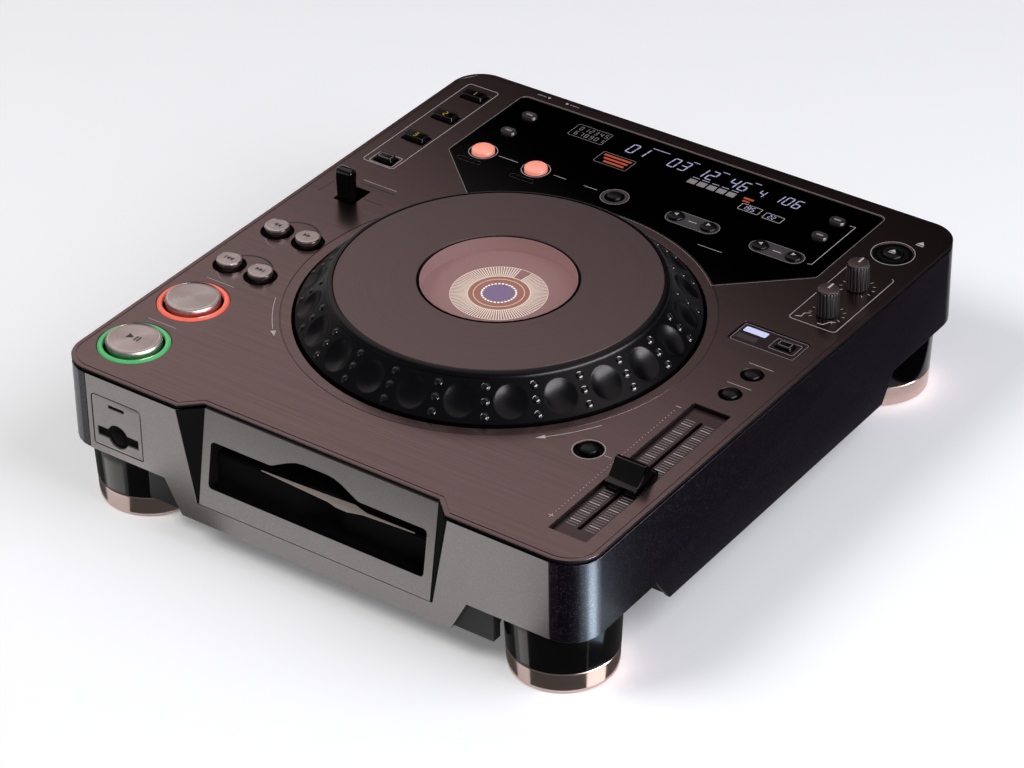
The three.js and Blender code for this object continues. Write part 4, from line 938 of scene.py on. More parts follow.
def front():
    """The grey front panel and the leaning face round the disc slot."""
    enamels = "grey_enamel matt_black_abs dusk_enamel"
    refined("front_panel", enamels, "player", 0.3, shade_panel)
    refined("slot_bezel", "grey_enamel matt_black_abs", "player", 0.2, shade_slot)


# The card door's finger recess: height over the door's foot, radius, reach to each side and half
# its height there. The lamp slit's way down from the door's top.
GRIP_RISE, GRIP_RADIUS, GRIP_REACH, GRIP_HALF, LAMP_DROP = 8.6, 6.7, 13.2, 2.6, 4.6


def card_door():
    """The card bay's door: a thin leaf with a lamp slit and a round finger recess with a stud, whose
    swell is a quarter of an ellipse turned round."""
    low, high = box_corners("card_door")
    x, foot, top = (low[0] + high[0]) / 2, low[2], high[2]
    half, thick = (high[0] - low[0]) / 2, high[1] - low[1]
    grip, lamp = foot + GRIP_RISE, top - LAMP_DROP
    outline = rounded([(-half, foot, 0.8), (half, foot, 0.8), (half, top, 2.1), (-half, top, 2.1)])
    levels = [(0.6, 0), (0.3, -0.12), (0.15, -0.45), (0, -1.0), (0, -thick + 0.45), (0.45, -thick)]
    recess = np.vstack([
        arc(0, grip, GRIP_RADIUS, 24, 156, 24),
        [(-GRIP_REACH, grip + GRIP_HALF), (-GRIP_REACH, grip - GRIP_HALF)],
        arc(0, grip, GRIP_RADIUS, 204, 336, 24),
        [(GRIP_REACH, grip - GRIP_HALF), (GRIP_REACH, grip + GRIP_HALF)],
    ])
    slit = oblong(0, lamp, 10.4, 1.9, 0.7)
    pits = [(recess, [(0.25, 0), (0, -0.25), (0, -1.2)]), (slit, [(0.15, 0), (0, -0.15), (0, -0.9)])]
    leaf = plate(outline, levels, (), pits)
    swell = np.radians(np.linspace(0, 90, 10))
    dome = np.column_stack([4.7 * np.cos(swell), -1.15 + 1.1 * np.sin(swell)])
    dome[-1, 0] = 0
    black = [
        turned([(0, -1.18), (4.7, -1.18), *dome], 48, 0, grip - 0.6),
        plate(shifted(recess, 0.03), [(0, -1.12), (0, -1.19)]),
        plate(shifted(slit, 0.03), [(0, -0.8), (0, -0.89)]),
    ]
    leaf, *black = (tipped(body, 90, x, low[1], 0) for body in (leaf, *black))
    groups = [("grey_enamel", [leaf]), ("matt_black_abs", black)]
    piece("card_door_leaf", "card_door", groups, ["card_door"])


def feet():
    """Four tapered legs with a metal ring and a rubber sole each, all turned round their middle."""
    for place in ("front_left", "front_right", "rear_left", "rear_right"):
        x, y, top = spot("leg_" + place)
        ring_top = spot("foot_ring_" + place)[2]
        seat, step = ring_top - 6, ring_top + 0.3
        leg = turned([
            (0, seat), (25.0, seat), (25.2, step), (28.0, step), (28.3, step + 0.3), (29.4, top - 0.3),
            (29.4, top), (0, top),
        ], 96, x, y)
        sole_top = seat - 0.2
        sole = turned([(0, 0), (23.8, 0), (24.8, 0.6), (24.9, sole_top), (0, sole_top)], 72, x, y)
        ring = turned([
            (25.3, 0.5), (27.3, 0.5), (27.7, 0.9), (27.75, 2.2), (27.9, 2.3), (28.2, ring_top - 0.4),
            (27.9, ring_top), (25.5, ring_top),
        ], 96, x, y)
        groups = [("glossy_abs", [leg]), ("nitrile_rubber", [sole])]
        piece("leg_body_" + place, "player", groups, ["leg_" + place])
        groups = [("nickel_plate", [ring])]
        piece("ring_body_" + place, "player", groups, ["foot_ring_" + place])


DIMPLES, FIRST_DIMPLE = 24, -6.2  # how many, and the angle of the first in degrees
DIMPLE_STEPS, SLOPE_ROWS = 48, 46  # points round the dial for each dimple, and up the slope
STUD_ROWS = (-7.56, 0.0, 7.56)  # places up the slope from its middle
# The rim's radii: outside, shoulder, lip, hub and bore. Its heights: foot and the hub's top.
RIM, SHOULDER, LIP, HUB, BORE = 104.5, 88.5, 85.1, 46.3, 43.3
RIM_FOOT, HUB_TOP = 71.0, 99.2
SLOPE_FOOT, SLOPE_TOP, SEAT_TOP = DECK + 1.0, JOG_TOP - 2.8, JOG_TOP - 2.3


def dimpled(points, normals, middle, normal, ways):
    """Pushes each point that lies inside a dimple's sphere along the slope's normal until it lies on
    the sphere: by a + sqrt(a a + r r - d d), where d is its way from the sphere's middle and a that
    way along the normal."""
    bowl, reach = chosen_size("dimple_radius"), chosen_size("dimple_width") / 2
    lift = math.sqrt(bowl**2 - reach**2)
    pitch, first = TURN / DIMPLES, math.radians(FIRST_DIMPLE)
    angle = np.arange(len(ways)) * TURN / len(ways)
    nearest = np.round((angle - first) / pitch) * pitch + first
    facing = np.stack([np.cos(nearest), np.sin(nearest)], axis=-1)
    radius, height = middle + normal * lift
    centres = np.concatenate([radius * facing, np.full((len(ways), 1), height)], axis=-1)
    away = points - centres
    along = np.sum(away * normals, axis=-1)
    inside = along**2 + bowl**2 - np.sum(away**2, axis=-1)
    depth = np.where(inside > 0, along + np.sqrt(np.maximum(inside, 0)), 0)
    return points - np.maximum(depth, 0)[..., None] * normals


def rim_studs(middle, up):
    """Small studs in rows of three between the dimples: a turned button in a turned dip, tilted
    onto the slope and carried round."""
    profile = np.array([
        (0, -0.3), (1.2, -0.3), (1.2, 0.05), (1.1, 0.14), (1.0, 0.08), (0.92, 0.06), (0.86, 0.26),
        (0.62, 0.44), (0.3, 0.52), (0, 0.54),
    ])
    points, blocks = turned(profile * (chosen_size("stud_width") / 2, 1.6), 20)
    tilt = np.array(Matrix.Rotation(math.atan2(up[1], -up[0]), 3, "Y"))
    rows = [middle + up * row for row in STUD_ROWS]
    upright = [moved((points @ tilt.T, blocks), radius, 0, height) for radius, height in rows]
    turns = FIRST_DIMPLE + (np.arange(DIMPLES) + 0.5) * 360 / DIMPLES
    return [moved(moved(body, turn=turn), JOG_X, JOG_Y) for turn in turns for body in upright]


def dial_rim():
    """The dial's rim: a cone from its outside to its shoulder, with dimples in it, a crown that is a
    quarter of an ellipse, and the seat, hub and skirt inside."""
    share = np.linspace(0, 1, SLOPE_ROWS)
    profile = np.column_stack([
        RIM + (SHOULDER - RIM) * share, SLOPE_FOOT + (SLOPE_TOP - SLOPE_FOOT) * share,
    ])
    middle = profile.mean(axis=0)
    up = (profile[-1] - profile[0]) / np.linalg.norm(profile[-1] - profile[0])
    normal = np.array([up[1], -up[0]])
    ways = directions(DIMPLES * DIMPLE_STEPS)
    normals = np.concatenate([normal[0] * ways, np.full((len(ways), 1), normal[1])], axis=-1)
    slope = dimpled(around(profile, ways), normals, middle, normal, ways)
    bend = np.radians(np.linspace(0, 90, 9)[1:])
    crown = np.column_stack([
        LIP + (SHOULDER - LIP) * np.cos(bend), SLOPE_TOP + (JOG_TOP - SLOPE_TOP) * np.sin(bend),
    ])
    inner = [
        (LIP, SEAT_TOP), (BORE, SEAT_TOP), (BORE, RIM_FOOT), (HUB, RIM_FOOT), (HUB, HUB_TOP),
        (82, HUB_TOP), (97.4, SLOPE_FOOT), (97.4, RIM_FOOT), (RIM, RIM_FOOT), (RIM, SLOPE_FOOT - 0.3),
    ]
    rows = np.concatenate([slope, around(np.vstack([crown, inner]), ways)])
    ring = shell(rows, grid(len(rows), len(ways), wrap_rows=True))
    groups = [
        ("black_polycarbonate", [moved(ring, JOG_X, JOG_Y)]), ("polished_studs", rim_studs(middle, up)),
    ]
    piece("dial_rim", "jog_dial", groups, ["jog_ring"], 24)


def dial():
    """The dial's rim and its flat turned top plate."""
    dial_rim()
    inner = (BORE + 0.1) * GLASS_SHARE
    top = turned([
        (inner, JOG_TOP - 2), (84.8, JOG_TOP - 2), (84.8, JOG_TOP - 0.5), (84.3, JOG_TOP),
        (inner + 0.4, JOG_TOP), (inner, JOG_TOP - 0.4),
    ], 180, JOG_X, JOG_Y)
    piece("dial_top", "jog_dial", [("turned_aluminium", [top])], ["jog_plate"])


# Radii in the dial's display: its violet core, the dashes, the brown disc, the rings and the ticks.
CORE, DASHES, DISC, BRIGHT_RING, TICKS = 7.7, 8.9, (9.8, 15.8), 13.1, (16.4, 25.0)
TICK_RINGS = ((16.1, 96, 0.5), (25.2, 120, 0.3))  # radius, sides and width
TICK_COUNT, TICK_START, TICK_END = 104, 98.5, 441.5  # the gap marks where the record stands


def dial_display():
    """The still display in the dial's middle: a lit cup with tick marks and rings, and its glass."""
    x, y, z = spot("jog_display")
    top = spot("jog_window")[2]
    wall, seat = CUP_RADIUS - 0.2, CUP_RADIUS - 1.1
    base = turned([
        (0, z - 1), (seat, z - 1), (seat, z - 0.5), (CUP_RADIUS, z - 0.5), (CUP_RADIUS, top - 0.3),
        (wall, top - 0.3), (wall, z), (0, z),
    ], 120, x, y)
    width = chosen_size("tick_width")
    turns = np.linspace(TICK_START, TICK_END, TICK_COUNT)
    cream = [line(spoke(x, y, turn, *TICKS), width, z) for turn in turns]
    cream += [line(circle(x, y, radius, flats), wide, z, True) for radius, flats, wide in TICK_RINGS]
    cream.append(line(circle(x, y, BRIGHT_RING, 96), LINE, z + 0.04, True))
    dashes = [line(arc(x, y, DASHES, a, a + 7, 3), 0.9, z) for a in range(0, 360, 12)]
    disc = patch(circle(x, y, DISC[1], 96), z, [circle(x, y, DISC[0], 96)])
    groups = [
        ("taupe_print", [base]), ("cream_print", cream), ("brown_print", [disc]),
        ("white_print", dashes), ("violet_print", [patch(circle(x, y, CORE), z)]),
    ]
    piece("dial_display_disc", "player", groups, ["jog_display"])
    edge = CUP_RADIUS - 0.3
    pane = turned([
        (0, top - 2), (edge - 0.2, top - 2), (edge, top - 1.8), (edge, top - 0.4), (edge - 0.3, top),
        (0, top),
    ], 120, x, y)
    piece("dial_pane", "player", [("rose_acrylic", [pane])], ["jog_window"])


CAP_DROP = 1.0  # the lit keys' caps look this much lower than their solids
KEY_FOOT, FLANGE, FLANGE_THICK = DECK - 6.2, 1.5, 1.2  # the hidden flange under each key


def cap(node, radius, z, edge, rise=0.0, flats=72):
    """A round key: a stem, an eased edge and a top that swells or sinks towards its middle."""
    x, y, _ = spot(node)
    share = np.linspace(1, 0, 7)
    crown = [((radius - edge) * s, z - rise + rise * math.sqrt(1 - (s * 0.98) ** 2)) for s in share]
    crown[-1] = (0, z)
    foot, wide = KEY_FOOT - FLANGE_THICK, radius + FLANGE
    profile = [
        (0, foot), (wide, foot), (wide, KEY_FOOT), (radius, KEY_FOOT),
        (radius, z - rise - edge), (radius - edge * 0.3, z - rise - edge * 0.3),
    ]
    return turned(profile + crown, flats, x, y)


def key_marks(node, z):
    """The dark marks on a key's top: a start mark, or arrow heads with or without a bar."""
    x, y, _ = spot(node)
    if node == "play_button":
        bars = [patch(oblong(x + dx, y, 0.9, 4.2), z) for dx in (1.6, 3.4)]
        return [patch(arrow(x - 3.6, y, 0, 3.8, 4.4), z), *bars]
    if node not in SEARCH_KEYS:
        return []
    way = 180 if "back" in node else 0
    side = -1 if way else 1
    heads = [patch(arrow(x + side * dx, y, way, 2.2, 3.0), z) for dx in (-2.6, -0.4)]
    if "track" in node:
        heads.append(patch(oblong(x + side * 2.4, y, 0.6, 3.0), z))
    return heads


def lit_keys():
    """Start and cue keys: a lit ring in the deck, and a turned cap with a bright edge inside it."""
    for node, glow in PLAY_KEYS.items():
        x, y, z = spot(node)
        z -= CAP_DROP
        ring_name = node.replace("button", "ring")
        ring = turned([
            (16.0, SHEET_FOOT), (18.8, SHEET_FOOT), (18.8, DECK - 0.1), (18.5, DECK + 0.2),
            (17.9, DECK + 0.65), (17.0, DECK + 0.7), (16.3, DECK + 0.5), (16.0, DECK + 0.1),
        ], 120, x, y)
        piece(ring_name + "_light", "player", [(glow, [ring])], [ring_name])
        rim = turned([
            (14.55, z - 3.0), (14.6, z - 1.6), (13.3, z - 0.02), (13.0, z + 0.02), (13.0, z - 0.3),
            (14.0, z - 3.0),
        ], 120, x, y)
        body = cap(node, 14.5, z, 1.4, 0.0, 120)
        groups = [(cap_finish(node), [body]), ("chrome_plate", [rim])]
        marks = key_marks(node, z)
        groups += [("dark_ink", marks)] if marks else []
        piece(node + "_cap", node, groups, [node])


def search_keys():
    """Two pairs of small turned caps with a bright edge, in black wells."""
    for node in SEARCH_KEYS:
        x, y, z = spot(node)
        rim = turned([
            (6.7, z - 3.4), (6.8, z - 0.9), (6.2, z - 0.05), (5.9, z + 0.02), (5.9, z - 0.3),
            (6.3, z - 3.4),
        ], 72, x, y)
        groups = [
            (cap_finish(node), [cap(node, 6.6, z, 0.5)]), ("chrome_plate", [rim]),
            ("dark_ink", key_marks(node, z)),
        ]
        piece(node + "_cap", node, groups, [node])


SMALL_KEYS = {
    "eject_button": 5.3, "tempo_range_button": 4.2, "master_tempo_button": 4.2,
    "tempo_reset_button": 4.4,
}


def small_keys():
    """Round black keys of the deck: eject with its mark, tempo keys and reset."""
    for node, radius in SMALL_KEYS.items():
        x, y, z = spot(node)
        groups = [("black_polycarbonate", [cap(node, radius, z, 0.5, 0.8)])]
        if node == "eject_button":
            top = z - SUNK - 0.03
            mark = [patch(np.array([(x - 2, y - 0.6), (x + 2, y - 0.6), (x, y + 2)]), top)]
            mark.append(line([(x - 2, y - 1.6), (x + 2, y - 1.6)], 0.6, top))
            groups.append(("white_ink", mark))
        piece(node + "_cap", node, groups, [node])


def soft_block(x, y, z, width, depth, radius, dish=0.3):
    """An oblong key whose top edge is eased in three steps round a slightly sunk middle."""
    levels = [
        (dish * 3, z - dish * 0.4), (0.5, z - 0.02), (0.15, z - 0.12), (0, z - 0.45), (0, KEY_FOOT),
    ]
    stem = plate(oblong(x, y, width, depth, radius), levels)
    flange = oblong(x, y, width + 2 * FLANGE, depth + 2 * FLANGE, radius)
    return [stem, plate(flange, [(0, KEY_FOOT - 0.05), (0, KEY_FOOT - FLANGE_THICK)])]


def block_keys():
    """Cue keys with yellow numbers, the record key, the mode key and the window's oval keys, each oval
    key with a small painted highlight.
    """
    for number, node in enumerate(HOT_KEYS, 1):
        x, y, z = spot(node)
        sign = numerals(str(number), x - 1.0, y, 3.6, z - 0.12, 0.5)
        groups = [("glossy_abs", soft_block(x, y, z, 12.5, 7, 1)), ("yellow_ink", sign)]
        piece(node + "_cap", node, groups, [node])
    for node, width, depth in (("record_button", 10, 6), ("jog_mode_button", 9, 6)):
        x, y, z = spot(node)
        border = line(oblong(x, y, width - 2.2, depth - 2.2, 0.6), 0.25, z - 0.1, True)
        groups = [("glossy_abs", soft_block(x, y, z, width, depth, 1)), ("grey_ink_and_painted_highlight", [border])]
        piece(node + "_cap", node, groups, [node])
    for node in OVAL_KEYS:
        x, y, z = spot(node)
        body = soft_block(x, y, z, 9, 6.4, 3)
        # Painted highlight: a small light mark in the middle of the dark oval key.
        mark = patch(oblong(x, y, 4.2, 1.4, 0.6), z - 0.12)
        piece(node + "_cap", node, [("dim_abs", body), ("grey_ink_and_painted_highlight", [mark])], [node])


def window():
    """The black acrylic display window, flush with the deck, with its keys' holes."""
    foot = SHEET_FOOT
    edge = eased(DECK, foot, 0.15)
    holes = [(circle(*spot(key)[:2], radius + 0.4), edge) for key, radius in WINDOW_KEYS.items()]
    holes += [(oblong(*spot(key)[:2], 9.8, 7.2, 3.3), edge) for key in OVAL_KEYS]
    pane = plate(window_outline(), eased(DECK, foot, 0.3), holes)
    piece("window_pane", "player", [("smoked_acrylic", [pane])], ["display_window"])
    for node, radius in WINDOW_KEYS.items():
        lit = node in ("loop_in_button", "loop_out_button")
        x, y, z = spot(node)
        body = cap(node, radius, z, 0.7 if lit else 0.5, 1.0 if lit else 0.6)
        groups = [("lit_salmon" if lit else "black_polycarbonate", [body])]
        if not lit and node != "loop_exit_button":
            way = 180 if "back" in node else 0
            groups.append(("white_ink", [patch(arrow(x - (1 - way / 90) * 1.1, y, way, 2.4, 2.6), z)]))
        piece(node + "_cap", node, groups, [node])


KEY_ROW, DIGIT_ROW = 107.6, 155.0  # rows of the window's front keys and of its large numerals
WINDOW_STROKES = {
    "from loop in to loop out": (LINE, [(-90.4, KEY_ROW), (-77.8, KEY_ROW)]),
    "right of loop out": (LINE, [(-54, KEY_ROW), (-46, KEY_ROW)]),
    "left of loop exit": (LINE, [(-34.4, KEY_ROW), (-26, KEY_ROW)]),
    "bracket at the right": (LINE, [(105.7, 152), (109, 152.4), (109, 108), (106.8, 107.4)]),
    "line under the wave keys": (FINE, [(49, 91.5), (64, 91.5)]),
}
# Frames in the window: middle, width, depth and radius.
NUMBER_FRAME, BAR_FRAME = (-62.3, 154.9, 22.4, 12.6, 1), (-35, 138.3, 21, 11.6, 1)
SMALL_FRAMES = ((52.8, 137.1, 12.6, 6.2, 0.8), (67.9, 136.2, 11.2, 5.8, 0.8))
# Lit numerals: text, left edge, middle row, height, stroke and slant.
READINGS = [
    ("0", -36.5, DIGIT_ROW, 9.0, 0.7, 0.1), ("1", -29.6, DIGIT_ROW, 9.0, 0.7, 0.1),
    ("03", -9.5, DIGIT_ROW, 9.0, 0.7, 0.1), ("12", 8.4, DIGIT_ROW, 9.0, 0.7, 0.1),
    ("46", 28.8, DIGIT_ROW, 9.0, 0.7, 0.1), ("4", 48.0, DIGIT_ROW - 1, 6.5, 0.55, 0.1),
    ("106", 57.5, DIGIT_ROW, 8.0, 0.65, 0.1), ("195", 48.4, 137.1, 3.6, 0.4, 0.0),
    ("22", 65.0, 136.2, 3.2, 0.35, 0.0),
]
DIGIT_LINES = ((-25, -14), (1.5, 5.6), (20.5, 24.8), (41, 45))  # short lines over the numerals
METER_START, METER_PITCH, METER_ROW = 11.6, 6.2, 144  # five cells with a lit line over each


def window_prints():
    """The window's prints: rings, capsules and joining lines round the keys, and the characters,
    bars and fields of the lit display."""
    z = DECK
    white = [line(points, width, z) for width, points in WINDOW_STROKES.values()]
    white += [line(oblong(*frame), LINE, z, True) for frame in SMALL_FRAMES]
    grey = [line(oblong(*frame), 0.25, z, True) for frame in (NUMBER_FRAME, BAR_FRAME)]
    for node in ("loop_in_button", "loop_out_button"):
        x, y, _ = spot(node)
        white.append(line(circle(x, y, 8.0), LINE, z, True))
        white.append(patch(oblong(x - 1.0, y - 11.9, 15.5, 3.4, 1.7), z))
    x, y, _ = spot("loop_exit_button")
    grey.append(line(circle(x, y, 7.8), LINE, z, True))
    dim = [line(circle(x, y, 6.4), 1.6, z, True)]
    for kind in ("wave", "call"):
        (x, y, _), (far, _, _) = spot(kind + "_back_button"), spot(kind + "_next_button")
        middle, span = (x + far) / 2, far - x
        grey.append(line(oblong(middle, y, span + 11.8, 11.8, 5.8), LINE, z, True))
        body = oblong(middle, y, span + 10.8, 10.8, 5.3)
        dim.append(patch(body, z, [circle(x, y, 4.7, 48), circle(far, y, 4.7, 48)]))
        white.append(patch(oblong(middle, y, 5.4, 0.6, 0.2), z + INK))
    lit = []
    for text, x, y, height, stroke, slant in READINGS:
        lit += numerals(text, x, y, height, z, stroke, slant)
    over = DIGIT_ROW + 6.6
    lit += [line([(left, over), (right, over)], 0.5, z) for left, right in DIGIT_LINES]
    for number in range(12):
        x, y = -70.5 + number % 6 * 3.3, 157.6 - number // 6 * 5.4
        grey += numerals(str(number % 10), x, y, 3.6, z, 0.35)
    amber = [patch(oblong(46.9, 145.2, 6.2, 1.6), z), patch(oblong(46.9, 142.4, 4.4, 1.2), z)]
    for level in range(3):
        bar = oblong(-35 + level * 0.6, 141.6 - level * 3.2, 17.5 - level * 2.2, 1.7)
        amber.append(patch(bar, z))
    for x in METER_START + np.arange(5) * METER_PITCH:
        grey.append(patch(oblong(x, METER_ROW, 5.0, 4.6, 0.3), z))
        lit.append(line([(x - 2.2, METER_ROW + 4.2), (x + 2.2, METER_ROW + 4.2)], 0.4, z))
    groups = [
        ("white_ink", white), ("grey_ink_and_painted_highlight", grey), ("slate_ink", dim), ("lit_white", lit),
        ("lit_orange", amber),
    ]
    piece("window_prints", "player", groups)


def mode_panel():
    """The sunk mode panel with its two lit fields and a frame round its key."""
    x, y, width, depth = MODE
    top = spot("mode_panel")[2]
    kx, ky, _ = spot("jog_mode_button")
    hole = [(oblong(kx, ky, 9.8, 6.8, 1), eased(top, SHEET_FOOT, 0.15))]
    body = plate(oblong(x, y, width, depth, 1.5), eased(top, SHEET_FOOT, 0.2), hole)
    lamp = [patch(oblong(119.0, 38.0, 13.4, 4.6, 0.7), top)]
    dim = [patch(oblong(117.6, 31.0, 12.0, 4.2, 0.7), top)]
    border = [line(oblong(kx, ky, 14.6, 10.2, 1.2), 0.3, top, True)]
    border.append(line(oblong(x, y, width - 1.4, depth - 1.4, 1.2), 0.3, top, True))
    groups = [("mauve_acrylic", [body]), ("lit_blue", lamp), ("dark_ink", dim), ("grey_ink_and_painted_highlight", border)]
    piece("mode_panel_pane", "player", groups, ["mode_panel"])


KNOB_RADIUS, FLUTES, FLUTE_DEPTH = 6.0, 18, 0.09  # the depth is a share of the radius


def knobs():
    """Two fluted knobs. The skirt's radius is r (1 - d (1 - w)), where the wave w is the 0.6th power
    of |cos(n a / 2)| for n flutes. On it a brown disc, bright lines in the flutes and a pointer."""
    count = FLUTES * 10
    angle = np.arange(count) * TURN / count
    wave = np.abs(np.cos(angle * FLUTES / 2)) ** 0.6
    step = 360 / FLUTES
    for node in KNOBS:
        x, y, top = spot(node)
        rows = [
            (0.96, DECK + 0.3), (1.0, DECK + 0.8), (0.985, top - 1.3), (0.95, top - 0.75),
            (0.9, top - 0.6),
        ]
        rings = []
        for share, height in rows:
            depth = FLUTE_DEPTH * (share > 0.9)
            radius = KNOB_RADIUS * share * (1 - depth * (1 - wave))
            rings.append(np.column_stack([radius[:, None] * directions(count), np.full(count, height)]))
        disc = turned([
            (0, top - 0.7), (5.3, top - 0.7), (5.4, top - 0.35), (5.1, top - 0.05), (4.8, top), (0, top),
        ])
        shaft = turned([
            (0, DECK - 7.3), (4.5, DECK - 7.3), (4.5, DECK - 6.3), (3, DECK - 6.3), (3, DECK + 0.4),
            (0, DECK + 0.4),
        ], 32)
        bar = plate(oblong(5.95, 0, 0.14, 0.28), [(0, top - 1.6), (0, DECK + 1.2)])
        flutes = [moved(bar, turn=(number + 0.5) * step) for number in range(FLUTES)]
        groups = [
            ("black_abs", [lofted(np.array(rings)), shaft]), ("turned_aluminium", [disc]),
            ("white_ink", [patch(oblong(0, 2.6, 1.1, 5.0, 0.2), top)]), ("grey_abs", flutes),
        ]
        groups = [(material, [moved(body, x, y) for body in bodies]) for material, bodies in groups]
        piece(node + "_body", node, groups, [node])


def lever():
    """The direction lever: a blade whose section narrows to its neck, with rounded edges."""
    x, y, top = spot("direction_lever")
    low, high = box_corners("direction_lever")
    half, pivot = (high[0] - low[0]) / 2 - 0.1, DECK - 16.0
    y = (low[1] + high[1]) / 2
    # Height, half the depth, and how far each side is drawn in.
    levels = [
        (pivot - 3.4, 1.2, 1.0), (pivot - 2.6, 2.6, 0.4), (pivot, 3.4, 0.3), (pivot + 3, 2.3, 0.3),
        (pivot + 16, 2.2, 0.3), (DECK + 2, 2.25, 0.2), (top - 3.0, 2.8, 0.1), (top - 1.4, 2.75, 0.2),
        (top - 0.5, 2.3, 0.6), (top - 0.1, 1.5, 1.2),
    ]
    rings = [
        np.column_stack([oblong(x, y, 2 * (half - inset), 2 * depth, 0.9, 4), np.full(20, z)])
        for z, depth, inset in levels
    ]
    groups = [("glossy_abs", [lofted(np.array(rings))])]
    piece("lever_blade", "direction_lever", groups, ["direction_lever"], 40)


# Of the slider: the slot in its bed, the marks beside it from its middle outwards, half the marks'
# reach along the bed and their number, and its cap's lip over the deck, ridge and hollow.
SLIDER_SLOT, MARKS, MARK_REACH, MARK_COUNT = (2.2, 107.2, 0.9), (2.6, 8.4), 52, 53
CAP_LIP, RIDGE_HALF, HOLLOW = 2.2, 1.5, 2.0


def slider_bed():
    """The sunk bed with its slot and scale marks, every fourth of them bold."""
    x, y, width, depth = BED
    top = spot("slider_bed")[2]
    foot = top - 1.5
    slot = [(oblong(x, y, *SLIDER_SLOT), eased(top, foot, 0.15))]
    bed = plate(oblong(x, y, width, depth, 0.2), [(0, top), (0, foot)], slot)
    marks, bold = [], []
    for number, along in enumerate(np.linspace(y - MARK_REACH, y + MARK_REACH, MARK_COUNT)):
        group, wide = (bold, 0.55) if number % 4 == 2 else (marks, 0.4)
        for side in (-1, 1):
            group.append(line([(x + side * away, along) for away in MARKS], wide, top))
    groups = [("dark_anodised", [bed]), ("grey_ink_and_painted_highlight", marks), ("white_ink", bold)]
    piece("slider_bed_plate", "player", groups, ["slider_bed"])


def slider():
    """The tempo slider's bed, and its saddle-shaped cap. Each slope of the cap is a straight line
    less half a sine wave, which hollows it, and both climb to a narrow ridge with a bright line."""
    slider_bed()
    x = BED[0]
    low, high = box_corners("slider_cap")
    half, ridge, lip = (high[1] - low[1]) / 2, high[2], DECK + CAP_LIP
    middle, foot = (low[1] + high[1]) / 2, DECK - 2.3
    share = np.linspace(0, 1, 17)
    along = half + (RIDGE_HALF - half) * share
    height = lip + (ridge - 0.5 - lip) * share - HOLLOW * np.sin(math.pi * share)
    slope = np.column_stack([along, height])
    crest = [(1.3, ridge - 0.15), (0.9, ridge), (-0.9, ridge), (-1.3, ridge - 0.15)]
    section = np.vstack([
        [(-half + 0.3, foot), (half - 0.3, foot), (half, foot + 0.4)], slope, crest,
        (slope * (-1, 1))[::-1], [(-half, foot + 0.4)],
    ])
    wide = (high[0] - low[0]) / 2
    steps = [
        (-wide, 0.5), (-wide + 0.15, 0.15), (-wide + 0.5, 0), (wide - 0.5, 0), (wide - 0.15, 0.15),
        (wide, 0.5),
    ]
    rings = [
        np.column_stack([
            np.full(len(section), x + across), shifted(section, inset) + (middle, 0),
        ]) for across, inset in steps
    ]
    stem = plate(oblong(x, middle, 1.4, 6), [(0, DECK - 2), (0, KEY_FOOT)])
    crest_line = patch(oblong(x, middle, 2 * wide - 1.6, 0.9, 0.2), ridge - SUNK, rise=SUNK)
    groups = [("glossy_abs", [lofted(np.array(rings)), stem]), ("white_ink", [crest_line])]
    piece("slider_cap_body", "slider_cap", groups, ["slider_cap"], 35)


SOCKETS = {"white_nylon": 30, "red_nylon": 50, "orange_nylon": 70}  # insert and its place along x


def rear():
    """The rear panel with its sockets and inlet, the power button and the lock switch."""
    refined("rear_panel", "black_abs", "player", 0.2)
    refined("mains_inlet", "black_abs", "player", 0.3)
    refined("power_button", "grey_abs", "power_button", 0.5)
    refined("lock_switch", "grey_abs", "lock_switch", 0.3)
    low, high = box_corners("rear_panel")
    z, back = (low[2] + high[2]) / 2, high[1]
    insert = turned([(1.65, 0), (3.0, 0), (3.0, 0.2), (1.65, 0.2)], 32)
    barrel = turned([(4.25, -6), (4.5, -6), (4.5, 0), (3.1, 0), (3.1, -0.2), (4.25, -0.2)], 40)
    for number, (nylon, x) in enumerate(SOCKETS.items(), 1):
        groups = [
            (nylon, [tipped(insert, -90, x, back - 0.2, z)]),
            ("gold_plate", [tipped(barrel, -90, x, back, z)]),
        ]
        piece(f"socket_{number}_insert", "player", groups)


# Stage: its sizes and places are metres, but the camera's and the mirror cards' are millimetres

CAMERA_TURN, CAMERA_RISE, CAMERA_ROLL = 0.621741, 0.590708, -0.013627  # radians
CAMERA_OFFSET = (5.782, -24.167, -2014.078)  # the body's middle as the camera sees it
CAMERA_LENS, SENSOR = 134.05, 36


def flat_card(name, outline, height, material, seen=(), faces=None):
    """A flat stage card. Only the kinds of ray named in seen meet it, or all where none is named."""
    mesh = bpy.data.meshes.new(name)
    faces = faces or [list(range(len(outline)))]
    mesh.from_pydata([(x, y, height) for x, y in outline], [], faces)
    mesh.materials.append(material)
    item = bpy.data.objects.new(name, mesh)
    bpy.context.collection.objects.link(item)
    if seen:
        for ray in ("camera", "diffuse", "glossy", "transmission", "volume_scatter", "shadow"):
            setattr(item, "visible_" + ray, ray in seen)
    return item


def square(x, y, width, depth):
    """A card's outline round its middle."""
    ways = ((-1, -1), (1, -1), (1, 1), (-1, 1))
    return [(x + across * width / 2, y + along * depth / 2) for across, along in ways]


def glowing(name, colour, strength):
    """A card's material that shines evenly."""
    material = bpy.data.materials.new(name)
    tree = empty_tree(material)
    light = add(tree, "ShaderNodeEmission", {"Color": linear(colour), "Strength": strength})
    add(tree, "ShaderNodeOutputMaterial", {"Surface": light.outputs[0]})
    return material


